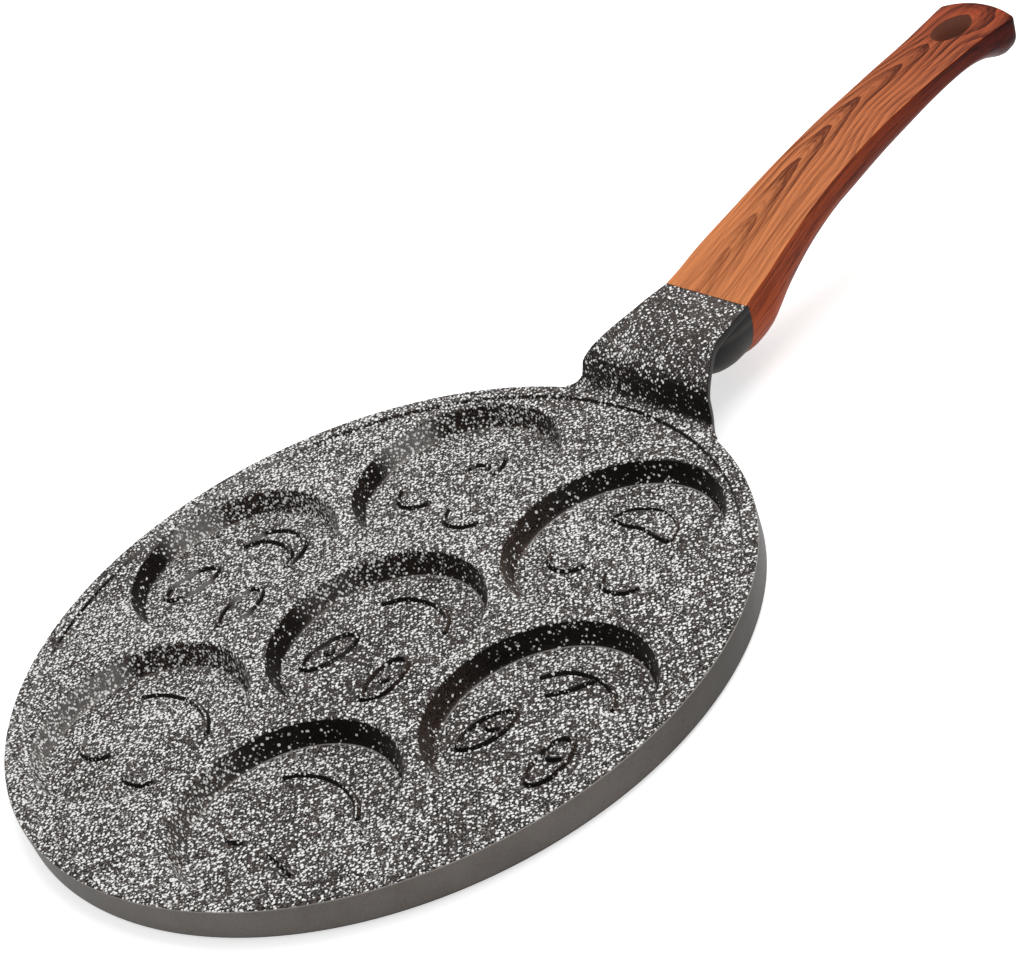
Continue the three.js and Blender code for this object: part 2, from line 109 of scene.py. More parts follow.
# Roundings of the grip, and the facet's share at its front with its growth along the grip
GRIP_FRONT_EDGE = 0.5 * MM
GRIP_BACK_EDGE = 1.6 * MM
GRIP_SIDE_EDGE = 0.9 * MM
THROAT_EDGE = 3 * MM
END_INSETS = (5 * MM, 9 * MM)
FRONT_FACET_SHARE = 0.4
FACET_GROWTH = 6
BELLY_TRIM = 3

# Where the speckled coating looks different, mostly through painted light and shade, from where each zone
# starts to where it is full
LEFT_ZONE = (-20 * MM, 50 * MM)
OUTER_LEFT_ZONE = (40 * MM, 60 * MM)
RIGHT_ZONE = (-45 * MM, -95 * MM)
BACK_ZONE = (-58 * MM, -84 * MM)
MIDDLE_BACK_ZONE = (-5 * MM, -30 * MM)
NECK_ZONE = (132 * MM, 146 * MM)
CENTRE_ZONE = (60 * MM, 35 * MM)
WALL_ZONE = (34.5 * MM, 35.5 * MM)

# Such zones measured from the land, a cup's rim and a cup's foot
RIM_HEIGHTS = (-0.8 * MM, -0.3 * MM)
RIM_REACH = (2.5 * MM, 1.5 * MM)
FLOOR_START = 0.5 * MM
FOOT_ROUNDING = (-1.5 * MM, -1.1 * MM)
FOOT_REACH = (1.5 * MM, 0.5 * MM)
# Painted highlight along the foot of a cup's wall
FOOT_HIGHLIGHT_INNER = (-1.45 * MM, -1.25 * MM)
FOOT_HIGHLIGHT_OUTER = (-0.7 * MM, -0.9 * MM)

# Specks: their cells, how far these waver, and a turn so that no flat face runs along them
WHITE_CELL = 1.12 * MM
GREY_CELL = 0.8 * MM
SPECK_WAVER = 0.5 * MM
SPECK_TURN = (0.62, 0.41, 0.9)

# Plain coating: the painted shade at the wall's foot, and the blend from the disc's wall to the boss
SHADED_FOOT_ZONE = (1.9 * MM, 1.1 * MM)
BOSS_BLEND = 4 * MM

# Faces of the casting with the plain coating
WALL_TOP_SHARE = 0.85
WALL_DEPTH = 0.35 * MM
DOWNWARD_SHARE = 0.02
SIDEWAYS_SHARE = 0.5

# Growth rings of the wood print
ARCH_PITCH = 20 * MM
ARCH_AXIS = 4 * MM
ARCH_SWAY = 20 * MM
ARCH_TIP_RADIUS = 7 * MM
ARCH_WANDER = 24 * MM
ARCH_JAGS = 6 * MM
AXIS_ZONE = (11 * MM, 2 * MM)

# Turned lines of the steel pieces
PLATE_LINE_PITCH = 1.5 * MM
ZINC_LINE_PITCH = 0.6 * MM

# Side view of the neck's top: share of the neck's length past the disc, share of its rise
NECK_TOP_SHARES = [
    (-0.13, -0.03),
    (-0.07, 0.02),
    (-0.02, 0.12),
    (0.005, 0.26),
    (0.03, 0.41),
    (0.09, 0.54),
    (0.19, 0.67),
    (0.42, 0.87),
    (0.71, 0.955),
    (1, 1),
]

# Plan of the neck: share of its length past the disc, share of the way from end width to root width
NECK_WIDTH_SHARES = [
    (-0.157, 1.5),
    (-0.105, 1.24),
    (-0.052, 1.05),
    (0.03, 0.86),
    (0.19, 0.61),
    (0.42, 0.27),
    (0.56, 0.17),
    (0.71, 0.12),
    (1, 0),
]

# Boss: share of its length back from the seam, share of the half width, share of the depth
BOSS_SHARES = [
    (0, 1, 1),
    (0.28, 0.97, 1.03),
    (0.55, 0.86, 0.97),
    (0.76, 0.68, 0.76),
    (0.92, 0.44, 0.42),
    (1, 0.24, 0.21),
]

# Grip: share of its length, then shares of its front half width, of its rise and of its depth
GRIP_SHARES = [
    (0, 1, 0, 0.916),
    (0.047, 0.964, 0.09, 1.02),
    (0.098, 0.947, 0.19, 1.025),
    (0.135, 0.913, 0.267, 0.95),
    (0.167, 0.888, 0.326, 0.853),
    (0.23, 0.835, 0.436, 0.73),
    (0.293, 0.796, 0.542, 0.65),
    (0.37, 0.757, 0.655, 0.6),
    (0.45, 0.733, 0.75, 0.587),
    (0.545, 0.714, 0.835, 0.54),
    (0.64, 0.709, 0.89, 0.48),
    (0.735, 0.716, 0.936, 0.41),
    (0.81, 0.723, 0.962, 0.378),
    (0.86, 0.738, 0.979, 0.392),
    (0.905, 0.767, 0.992, 0.452),
    (0.94, 0.796, 0.998, 0.53),
    (0.97, 0.828, 1, 0.61),
    (0.987, 0.842, 1, 0.63),
    (1, 0.852, 1, 0.6),
]

# Raised lines of the faces
LINE_SUNK = 0.4 * MM
LINE_FOOT = 0.1 * MM
LINE_ROUNDNESS = 1.2
LINE_END_SHARE = 0.2
THIN_LINE_SHARE = 0.6
PUPIL_RADIUS = 2.2 * MM

# Strokes of the faces as shares of a cup floor's radius: towards the handle, then to the left
CLOSED_EYE = [(-0.3, 0.13), (-0.43, 0.22), (-0.475, 0.36), (-0.43, 0.52), (-0.31, 0.61)]
OPEN_EYE_PLACE = (-0.33, 0.42)
OPEN_EYE_HALF_LENGTH = 0.29
OPEN_EYE_HALF_WIDTH = 0.15
OPEN_EYE_LEAN = math.radians(11.5)
LID = [(-0.25, 0.31), (-0.31, 0.4), (-0.25, 0.5)]
SMALL_EYE = [(-0.4, 0.46), (-0.45, 0.34), (-0.38, 0.2)]
WINK = [(-0.36, -0.1), (-0.38, -0.3), (-0.42, -0.56)]
WIDE_SMILE = [(0.31, 0.56), (0.45, 0.4), (0.54, 0.05), (0.47, -0.32), (0.31, -0.54)]
SMILE = [(0.37, 0.49), (0.55, 0.3), (0.62, 0), (0.55, -0.3), (0.37, -0.47)]
CRESCENT_INNER = [(0.29, 0.38), (0.47, 0.24), (0.53, 0), (0.47, -0.22), (0.29, -0.36)]
CRESCENT_OUTER = [(0.31, 0.4), (0.6, 0.3), (0.72, 0), (0.6, -0.28), (0.31, -0.38)]
LAUGH_LINE = [(0.3, 0.42), (0.3, 0.2), (0.33, 0), (0.3, -0.2), (0.29, -0.38)]
LAUGH_ARC = [(0.31, 0.43), (0.5, 0.32), (0.61, 0), (0.5, -0.28), (0.3, -0.39)]
TONGUE = [(0.23, 0.26), (0.36, 0.13), (0.5, 0.03), (0.59, -0.03)]
KISS_UPPER = [(0.22, 0.17), (0.33, 0.12), (0.36, 0.02), (0.29, -0.05)]
KISS_LOWER = [(0.27, -0.16), (0.4, -0.14), (0.53, -0.05)]


def length(name, description, metres):
    """A size that the panel shows in the scene's unit of length."""
    return bpy.props.FloatProperty(name=name, description=description, default=metres, unit="LENGTH")


def power(name, description, watts):
    """The power of a lamp."""
    return bpy.props.FloatProperty(name=name, description=description, default=watts, unit="POWER")


def linear(*screen):
    """A colour as it is seen on a screen, from 0 to 255, as the linear values of a shader."""
    shares = [value / 255 for value in screen]
    return tuple(s / 12.92 if s <= 0.04045 else ((s + 0.055) / 1.055) ** 2.4 for s in shares)


def colour(name, description, *screen):
    """A colour that the panel shows as a swatch."""
    return bpy.props.FloatVectorProperty(
        name=name, description=description, default=linear(*screen), size=3, subtype="COLOR", min=0, max=1
    )


class CastingSizes(bpy.types.PropertyGroup):
    """Sizes of the cast disc, its cups, neck and boss"""

    disc_radius: length("Disc Radius", "Radius of the disc", -CASTING_LOW.x)
    base_radius: length("Base Radius", "Radius of the flat underside", 118 * MM)
    base_drop: length("Base Drop", "How far the base stands below the wall's foot", 0.75 * MM)
    wall_draft: length("Wall Draft", "How much the wall leans out", 0.5 * MM)
    lip_top: length("Lip Top", "Height of the lip", 12.2 * MM)
    lip_width: length("Lip Width", "Width of the raised lip", 5.5 * MM)
    lip_slope: length("Lip Slope", "Width of the slope inside the lip", 0.6 * MM)
    lip_rise: length("Lip Rise", "How far the lip stands above the land", 1.3 * MM)
    cup_radius: length("Cup Radius", "Radius of a cup at the land", 38.8 * MM)
    cup_land: length("Cup Land", "Width of the land between two cups", 5.6 * MM)
    cup_floor: length("Cup Floor", "Height of a cup's floor", 3 * MM)
    cup_draft: length("Cup Draft", "How much a cup's wall leans out", 2.6 * MM)
    rib_width: length("Rib Width", "Width of the raised lines of the faces", 2.6 * MM)
    rib_height: length("Rib Height", "Height of the raised lines of the faces", 1.4 * MM)
    neck_length: length("Neck Length", "From the disc to the seam with the grip", 38.2 * MM)
    neck_rise: length("Neck Rise", "How far the neck rises above the lip", 20.2 * MM)
    neck_root: length("Neck Root", "Half width of the neck at the disc", 34.5 * MM)
    neck_thickness: length("Neck Thickness", "Thickness of the neck's plate", 2.8 * MM)
    boss_length: length("Boss Length", "Length of the boss under the neck", 24 * MM)


class GripSizes(bpy.types.PropertyGroup):
    """Sizes of the grip"""

    front_half_width: length("Front Half Width", "Half width at the seam", GRIP_HIGH.y)
    rise: length("Rise", "How far the top rises along the grip", 23.6 * MM)
    depth: length("Depth", "Depth that the shares of the belly are taken of", 28.6 * MM)
    facet: length("Facet", "Height of the side facets", 5 * MM)
    facet_lean: length("Facet Lean", "How much a facet leans in", 0.6 * MM)
    crown: length("Crown", "How far the top bulges at the end", 1.8 * MM)
    end_radius: length("End Radius", "Radius of the end in plan", 50 * MM)
    hole_from_end: length("Hole From End", "From the end to the middle of the hanging hole", 18.3 * MM)
    hole_half_length: length("Hole Half Length", "Half length of the hanging hole", 8.7 * MM)
    hole_half_width: length("Hole Half Width", "Half width of the hanging hole", 7.2 * MM)
    hole_throat: length("Hole Throat", "Half length of the hole's narrow middle", 6.2 * MM)
    hole_flare: length("Hole Flare", "Depth of the flare at each end of the hole", 4.5 * MM)


class PanColours(bpy.types.PropertyGroup):
    """Colours of the finishes"""

    coating: colour("Coating", "Charcoal ground of the coating", 10, 9, 9)
    coating_warm: colour("Coating Warm", "Warmer patches of the coating", 108, 99, 95)
    speck: colour("Specks", "Palest specks", 252, 251, 249)
    speck_grey: colour("Grey Specks", "Greyer specks", 122, 117, 114)
    wall: colour("Wall", "Coating without specks on the wall and underside", 80, 76, 72)
    # Edge is a painted highlight on the upward-facing rounding of the lip's outer edge
    edge: colour("Edge", "Worn edge of the lip", 190, 184, 178)
    # Dark Wall also gives the painted shade at the foot of the disc's wall
    dark_wall: colour("Dark Wall", "Coating on the boss and the edges of the neck", 34, 34, 34)
    wood_light: colour("Light Wood", "Early wood at the front of the grip", 232, 145, 92)
    wood_dark: colour("Dark Wood", "Late wood at the front of the grip", 118, 59, 36)
    end_light: colour("Light End", "Early wood at the end of the grip", 172, 72, 42)
    end_dark: colour("Dark End", "Late wood at the end of the grip", 70, 23, 15)
    core: colour("Core", "Moulded plastic inside the hanging hole", 128, 70, 48)
    steel: colour("Steel", "Steel plate in the base", 176, 174, 170)
    zinc: colour("Zinc", "Screw and washers", 168, 170, 172)


# Outlines


def rounded(corners, steps=CORNER_STEPS):
    """The closed outline through corners of (across, up, rounding), each rounding a short curve."""
    points = []
    for i, (across, up, rounding) in enumerate(corners):
        here = Vector((across, up))
        if rounding == 0:
            points.append(here)
            continue
        before = Vector(corners[i - 1][:2])
        after = Vector(corners[(i + 1) % len(corners)][:2])
        start = here + (before - here).normalized() * rounding
        end = here + (after - here).normalized() * rounding
        for k in range(steps + 1):
            t = k / steps
            points.append(start * (1 - t) ** 2 + here * 2 * t * (1 - t) + end * t ** 2)
    return points


def share_at(rows, column, along):
    """Smooth value of one column of a table whose first column is the share along."""
    last = len(rows) - 1
    i = 0
    while i + 1 < last and rows[i + 1][0] < along:
        i += 1

    def slope(k):
        before = rows[max(k - 1, 0)]
        after = rows[min(k + 1, last)]
        return (after[column] - before[column]) / (after[0] - before[0])

    span = rows[i + 1][0] - rows[i][0]
    t = (along - rows[i][0]) / span
    start, end = rows[i][column], rows[i + 1][column]
    bend = (start - end) * 2 + (slope(i) + slope(i + 1)) * span
    lean = (end - start) * 3 - (2 * slope(i) + slope(i + 1)) * span
    return start + t * (slope(i) * span + t * (lean + t * bend))


def through(points, steps):
    """A smooth run of points through the given ones."""
    points = [Vector(point) for point in points]
    run = []
    for i in range(len(points) - 1):
        before = points[max(i - 1, 0)]
        start, end = points[i], points[i + 1]
        after = points[min(i + 2, len(points) - 1)]
        for k in range(steps):
            t = k / steps
            bend = (start - end) * 3 - before + after
            lean = before * 2 - start * 5 + end * 4 - after
            run.append(start + ((end - before) * t + lean * t ** 2 + bend * t ** 3) / 2)
    run.append(points[-1])
    return run


def around(radius, count, first=0):
    """Places in plan round the middle, anticlockwise, the first at this angle in degrees."""
    turns = [math.radians(first + 360 * i / count) for i in range(count)]
    return [(radius * math.cos(turn), radius * math.sin(turn)) for turn in turns]


def heading(path, i):
    """Which way a path runs at one of its points."""
    return (path[min(i + 1, len(path) - 1)] - path[max(i - 1, 0)]).normalized()


# Modelling by operators


def let_go():
    """Leaves edit mode and deselects everything, so that the next operator acts on its own piece only."""
    if bpy.context.mode != "OBJECT":
        bpy.ops.object.mode_set(mode="OBJECT")
    bpy.ops.object.select_all(action="DESELECT")


def pick(*pieces):
    """Selects only these pieces. The first becomes the active one."""
    let_go()
    for piece in pieces:
        piece.select_set(True)
    bpy.context.view_layer.objects.active = pieces[0]


def edited(piece, *steps):
    """Runs operators of edit mode, each given with its settings, on a piece's whole mesh."""
    pick(piece)
    bpy.ops.object.mode_set(mode="EDIT")
    for operator, settings in steps:
        bpy.ops.mesh.select_all(action="SELECT")
        operator(**settings)
    bpy.ops.object.mode_set(mode="OBJECT")
    return piece


def closed_up(piece):
    """Merges what lies together, shuts open ends and turns the faces outwards."""
    return edited(
        piece,
        (bpy.ops.mesh.remove_doubles, {"threshold": MERGE}),
        (bpy.ops.mesh.delete_loose, {"use_verts": True, "use_edges": True, "use_faces": False}),
        (bpy.ops.mesh.fill_holes, {"sides": 0}),
        (bpy.ops.mesh.normals_make_consistent, {"inside": False}),
    )


def skinned(name, rings, looped=False):
    """A grid drawn round the rings of points in turn, shut at both ends unless it is looped."""
    rows = rings + rings[:1] if looped else rings
    let_go()
    bpy.ops.mesh.primitive_grid_add(x_subdivisions=len(rows[0]), y_subdivisions=len(rows) - 1, size=1)
    piece = bpy.context.object
    piece.name = name
    places = [point for ring in rows for point in ring + ring[:1]]
    for vertex, place in zip(piece.data.vertices, places, strict=True):
        vertex.co = place
    return closed_up(piece)


def slid(piece, way):
    """Moves a piece's whole mesh in plan, so that its object stays at the origin."""
    return edited(piece, (bpy.ops.transform.translate, {"value": (*way, 0)}))


def spun(name, outline, steps, centre=(0, 0)):
    """A closed outline of radius and height, turned about an upright axis through the centre."""
    let_go()
    bpy.ops.mesh.primitive_circle_add(vertices=len(outline), radius=1)
    piece = bpy.context.object
    piece.name = name
    for vertex, (radius, height) in zip(piece.data.vertices, outline, strict=True):
        vertex.co = (radius, 0, height)
    turning = {"steps": steps, "angle": 2 * math.pi, "center": (0, 0, 0), "axis": (0, 0, 1)}
    edited(piece, (bpy.ops.mesh.spin, turning))
    return slid(closed_up(piece), centre)


def rod(name, radius, low, high, centre, steps=SMALL_STEPS):
    """An upright round rod."""
    return spun(name, [(0, low), (radius, low), (radius, high), (0, high)], steps, centre)


def copied(piece, centre):
    """A copy with its own mesh, moved in plan."""
    pick(piece)
    bpy.ops.object.duplicate()
    return slid(bpy.context.object, centre)


def joined(pieces):
    """Several pieces as one object."""
    pick(*pieces)
    if len(pieces) > 1:
        bpy.ops.object.join()
    return bpy.context.object


def combined(piece, other, operation):
    """The piece with the other one cut out of it or added to it. The other one is used up."""
    pick(piece)
    bpy.ops.object.modifier_add(type="BOOLEAN")
    change = piece.modifiers[-1]
    change.operation = operation
    change.solver = "EXACT"
    change.material_mode = "TRANSFER"
    change.object = other
    bpy.ops.object.modifier_apply(modifier=change.name)
    bpy.data.objects.remove(other)
    if not piece.data.polygons:
        raise RuntimeError(f"{piece.name} was lost in {operation.lower()}")
    return piece


def painted(piece, *materials):
    """Gives a piece these materials and no others."""
    piece.data.materials.clear()
    for material in materials:
        piece.data.materials.append(material)


def finished(piece, body, slot, *nodes):
    """Smooths a piece, hangs it on its body and hides the parts of the frame that it stands for; the slot
    is not used.
    """
    pick(piece)
    bpy.ops.object.shade_smooth_by_angle(angle=SMOOTH_ANGLE)
    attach(piece, body)
    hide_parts(*nodes)
    return piece


# Shader maths


class Value:
    """A socket that carries a number. Arithmetic on it adds Math nodes to its tree."""

    def __init__(self, finish, socket):
        self.finish = finish
        self.socket = socket

    def maths(self, operation, *inputs):
        settings = {"operation": operation}
        return self.finish.node("ShaderNodeMath", settings, dict(enumerate(inputs)))

    def __add__(self, other):
        return self.maths("ADD", self, other)

    def __sub__(self, other):
        return self.maths("SUBTRACT", self, other)

    def __rsub__(self, other):
        return self.maths("SUBTRACT", other, self)

    def __mul__(self, other):
        return self.maths("MULTIPLY", self, other)

    def __truediv__(self, other):
        return self.maths("DIVIDE", self, other)

    def __pow__(self, other):
        return self.maths("POWER", self, other)

    __radd__ = __add__
    __rmul__ = __mul__

    def fraction(self):
        return self.maths("FRACT", self)

    def clamped(self):
        return self.finish.node("ShaderNodeClamp", {}, {0: self})

    def step_between(self, low, high):
        """Rises smoothly from 0 at low to 1 at high, or falls if low is the larger."""
        if low > high:
            return 1 - self.step_between(high, low)
        settings = {"interpolation_type": "SMOOTHSTEP"}
        return self.finish.node("ShaderNodeMapRange", settings, {0: self, 1: low, 2: high})

    def step_past(self, edge, low, high):
        """Such a step between two distances past an edge."""
        return self.step_between(edge + low, edge + high)


class Finish:
    """A material whose nodes are added one by one."""

    def __init__(self, name):
        self.material = bpy.data.materials.new(name)
        self.material.use_nodes = True
        self.tree = self.material.node_tree
        self.shader = self.tree.nodes["Principled BSDF"]

    def node(self, kind, settings=None, inputs=None, output=0):
        """Adds a node, sets it, feeds it and returns one of its outputs."""
        made = self.tree.nodes.new(kind)
        for key, value in (settings or {}).items():
            setattr(made, key, value)
        for key, value in (inputs or {}).items():
            self.feed(made.inputs[key], value)
        return Value(self, made.outputs[output])

    def feed(self, socket, value):
        """Links a value to a socket, or sets the socket to a number, place or colour."""
        if isinstance(value, Value):
            self.tree.links.new(value.socket, socket)
        elif socket.type == "RGBA":
            socket.default_value = (*value, 1)
        else:
            socket.default_value = value

    def mapped(self, place, **changes):
        """The place stretched by Scale, turned by Rotation and moved by Location."""
        return self.node("ShaderNodeMapping", {"vector_type": "POINT"}, {"Vector": place, **changes})

    def place(self, shift=(0, 0, 0)):
        """Places on the object in metres, shifted."""
        return self.mapped(self.node("ShaderNodeTexCoord", output="Object"), Location=shift)

    def point(self, across, along, up):
        return self.node("ShaderNodeCombineXYZ", {}, {0: across, 1: along, 2: up})

    def axis(self, place, letter):
        return self.node("ShaderNodeSeparateXYZ", {}, {0: place}, letter)

    def axes(self, place):
        return [self.axis(place, letter) for letter in "XYZ"]

    def normal(self, letter):
        return self.axis(self.node("ShaderNodeNewGeometry", output="Normal"), letter)

    def vectors(self, operation, inputs, output="Vector"):
        return self.node("ShaderNodeVectorMath", {"operation": operation}, inputs, output)

    def noise(self, place, scale, detail, roughness, output="Fac"):
        inputs = {"Vector": place, "Scale": scale, "Detail": detail, "Roughness": roughness}
        return self.node("ShaderNodeTexNoise", {}, inputs, output)

    def mixed(self, factor, first, second, blend="MIX"):
        settings = {"data_type": "RGBA", "blend_type": blend, "clamp_factor": True}
        return self.node("ShaderNodeMix", settings, {0: factor, 6: first, 7: second}, 2)

    def moved(self, place, amount, scale):
        """The place pushed about by coloured noise of that scale."""
        push = self.noise(place, scale, 1, 0.5, "Color")
        centred = self.vectors("SUBTRACT", {0: push, 1: (0.5, 0.5, 0.5)})
        sized = self.vectors("SCALE", {0: centred, "Scale": amount})
        return self.vectors("ADD", {0: place, 1: sized})

    def bump(self, height, distance, strength=0.5):
        inputs = {"Height": height, "Distance": distance, "Strength": strength}
        return self.node("ShaderNodeBump", {}, inputs, "Normal")

    def surface(self, sockets):
        """Sets or feeds the main shader's sockets."""
        for key, value in sockets.items():
            self.feed(self.shader.inputs[key], value)
        return self.material


def specks(finish, place, cell, share, radius, scatter):
    """Round specks, one at most in each cell, their surroundings and a random number for each."""
    settings = {"voronoi_dimensions": "3D", "feature": "F1"}
    inputs = {"Vector": place, "Scale": 1 / cell, "Randomness": scatter}
    distance = finish.node("ShaderNodeTexVoronoi", settings, inputs, "Distance")
    random = finish.node("ShaderNodeTexVoronoi", settings, inputs, "Color")
    red, green, blue = (
        finish.node("ShaderNodeSeparateColor", {}, {0: random}, name) for name in ("Red", "Green", "Blue")
    )
    chosen = (share - red).step_between(-0.01, 0.01)
    edge = radius * (green * 0.5 + 0.75) - distance
    speck = edge.step_between(-0.05, 0.05)
    halo = edge.step_between(-0.42, -0.02)
    return speck * chosen, halo * chosen, blue


def from_cup(finish, place, centres):
    """Distance in plan from the middle of the nearest cup."""
    flat = finish.point(finish.axis(place, "X"), finish.axis(place, "Y"), 0)
    nearest = None
    for centre in centres:
        away = finish.vectors("DISTANCE", {0: flat, 1: (*centre, 0)}, "Value")
        nearest = away if nearest is None else away.maths("MINIMUM", nearest, away)
    return nearest


def speckled_coating(colours, sizes):
    """Charcoal non-stick coating full of fine pale specks, which are sparse on steep walls."""
    finish = Finish("granite_coating")
    place = finish.place()
    ahead, aside, height = finish.axes(place)
    upward = finish.normal("Z")
    radius = from_cup(finish, place, cup_centres(sizes))
    land = sizes.lip_top - sizes.lip_rise
    foot = sizes.cup_radius - sizes.cup_draft

    # Which way a wall faces in plan, whatever its slope, to set its painted shade and painted highlights
    to_front, to_left = finish.normal("X"), finish.normal("Y")
    slope = (to_front * to_front + to_left * to_left) ** 0.5 + 0.02
    to_front, to_left = to_front / slope, to_left / slope
    faces_back = (to_front * -0.9 - to_left * 0.5).step_between(0.05, 0.75)
    faces_right = (to_front * 0.25 - to_left * 0.9).step_between(0.62, 0.76)
    faces_front_right = (to_front * 0.75 - to_left * 0.6).step_between(0.56, 0.78)
    faces_back_right = (to_front * -0.7 - to_left * 0.7).step_between(0.1, 0.4)
    faces_back_right = faces_back_right * slope.step_between(0.03, 0.1)

    # Where on the pan, for the painted light and shade that differ across it
    left = aside.step_between(*LEFT_ZONE)
    outer_left = aside.step_between(*OUTER_LEFT_ZONE)
    right = aside.step_between(*RIGHT_ZONE)
    back = ahead.step_between(*BACK_ZONE)
    middle_back = ahead.step_between(*MIDDLE_BACK_ZONE) * right
    neck = ahead.step_between(*NECK_ZONE)
    centre = finish.vectors("LENGTH", {0: place}, "Value").step_between(*CENTRE_ZONE)
    in_cup = radius.step_between(sizes.cup_radius + FLOOR_START, foot)
    outer_wall = (left + back * 0.8 + middle_back * 0.5).clamped() * radius.step_between(*WALL_ZONE)

    # The steep walls, which get painted shade, with the rounding at their foot where it faces back and
    # right, and without their rim
    rim = height.step_past(land, *RIM_HEIGHTS) * radius.step_past(sizes.cup_radius, *RIM_REACH)
    rounding = radius.step_past(foot, *FOOT_ROUNDING) * radius.step_past(foot, *FOOT_REACH)
    rounding = rounding * faces_back_right
    steep = (1 - upward.step_between(0.65, 0.97) + rounding).clamped() * (1 - rim * 0.8)
    # Painted shade at the ends of the walls on the left that face front and right
    shaded_end = faces_front_right * steep * left.step_between(0, 0.4) * (1 - back * 0.9)
    # Painted highlight on the walls facing right, mostly on the outer left
    painted_sheen = outer_left * (0.75 - back * 0.4) + left * 0.25 + back * 0.25
    painted_sheen = painted_sheen.clamped() * faces_right * steep * (1 - shaded_end)

    # Specks
    patches = finish.noise(place, 38, 3, 0.6)
    wavy = finish.moved(finish.mapped(place, Rotation=SPECK_TURN), SPECK_WAVER, 1200)
    # Painted light and shade: brighter to the left, darker to the right and on the cup floors, most of all
    # in the middle cup
    painted_light_level = 1 + left * 0.14 - right * 0.1 - in_cup * (0.02 + centre * 0.2)
    crowd = (1 - steep * (0.85 - outer_wall * 0.55 - back * 0.15)) * (1 - shaded_end * 0.75) * painted_light_level
    dense = 0.66 + (patches - 0.5) * 1.2 * (1 - neck * 0.8)
    white, white_halo, _ = specks(finish, wavy, WHITE_CELL, (dense - neck * 0.25) * crowd, 0.43, 0.95)
    grey, grey_halo, greyness = specks(finish, wavy, GREY_CELL, (dense - neck * 0.3) * crowd, 0.4, 0.85)

    # Ground under the specks, with painted shade on the steep walls and at the left ends of the walls, and
    # a painted highlight on walls facing right
    grain = finish.noise(place, 2000, 1, 0.5).step_between(0.36, 0.6)
    warmth = patches.step_between(0.4, 0.7) * 0.35 + grain * (0.8 - neck * 0.35) + neck * 0.2
    ground = finish.mixed((warmth * painted_light_level).clamped(), colours.coating, colours.coating_warm)
    # Painted shade on the steep walls, darkest where they face back
    shade_side = (faces_back * (1 - outer_wall * 0.5)).clamped()
    shade = finish.mixed(shade_side, linear(205, 188, 178), linear(92, 88, 86))
    walls = finish.mixed(steep, ground, shade, "MULTIPLY")
    ends_shaded = finish.mixed(shaded_end * 0.8, walls, colours.coating)
    highlighted = finish.mixed(painted_sheen * 0.7, ends_shaded, linear(150, 146, 143))

    # Specks on it, each in a dark halo, and a painted highlight along the foot of a wall where it faces
    # back and right
    halo = ((white_halo * 0.9 + grey_halo * 0.45) * (1 - painted_sheen * 0.6)).clamped()
    ringed = finish.mixed(halo, highlighted, colours.coating)
    pale = finish.mixed(greyness, colours.speck_grey, colours.speck)
    specked = finish.mixed(white, finish.mixed(grey * 0.8, ringed, pale), colours.speck)
    foot_highlight = radius.step_past(foot, *FOOT_HIGHLIGHT_INNER) * radius.step_past(foot, *FOOT_HIGHLIGHT_OUTER)
    foot_highlight = foot_highlight * faces_back_right * (0.6 - left * 0.3)

    return finish.surface({
        "Base Color": finish.mixed(foot_highlight, specked, linear(170, 163, 158)),
        "Roughness": 0.38 + 0.15 * grain - steep * 0.1,
        "Specular IOR Level": 0.1,
        "Normal": finish.bump(white * 0.5 + grey * 0.3 + grain * 0.4, 0.04 * MM, 0.6),
    })


def plain_coating(colours):
    """Smooth satin coating: grey on the disc's wall and underside, near black on the neck's sides."""
    finish = Finish("plain_coating")
    place = finish.place()
    mottle = finish.noise(place, 60, 4, 0.6)
    fine = finish.noise(place, 1500, 2, 0.6)
    ahead, aside, height = finish.axes(place)
    radius = (ahead * ahead + aside * aside) ** 0.5
    upward = finish.normal("Z")
    downward = 0 - upward

    # Wall of the disc: painted light on its side that faces back and right, painted shade at its foot and
    # a painted highlight on the lip's upward-facing outer edge
    level = upward.step_between(-0.5, -0.1)
    # Painted light on the side of the wall that faces back and right
    faces_back_right = (finish.normal("X") * -0.6 - finish.normal("Y") * 0.8).step_between(0.5, 0.92)
    lit = finish.mixed(faces_back_right * level, colours.wall, linear(122, 116, 111))
    # Painted shade towards the wall's foot
    low = height.step_between(*SHADED_FOOT_ZONE)
    foot_shaded = finish.mixed(low * 0.6 * level, lit, colours.dark_wall)
    # Painted highlight on the upward-facing rounding of the lip's outer edge
    wall = finish.mixed(upward.step_between(0.1, 0.6) * 0.7, foot_shaded, colours.edge)

    # Boss and the sides of the neck, lighter towards the boss's underside as painted bounce light, with a
    # painted highlight along the boss
    glint = downward.step_between(0.12, 0.18) * downward.step_between(0.26, 0.18)
    belly_light = (glint * 0.55 + downward.step_between(0.2, 0.8) * 0.5).clamped()
    boss = finish.mixed(belly_light, colours.dark_wall, colours.wall)

    tone = finish.mixed(radius.step_past(CASTING_HIGH.y, 0, BOSS_BLEND), wall, boss)
    grime = (mottle.step_between(0.3, 0.7) * 0.35 + fine.step_between(0.4, 0.7) * 0.25).clamped()
    return finish.surface({
        "Base Color": finish.mixed(grime, tone, linear(190, 186, 182), "MULTIPLY"),
        "Roughness": 0.38 + 0.14 * fine,
        "Specular IOR Level": 0.15,
        "Normal": finish.bump(fine, 0.02 * MM),
    })


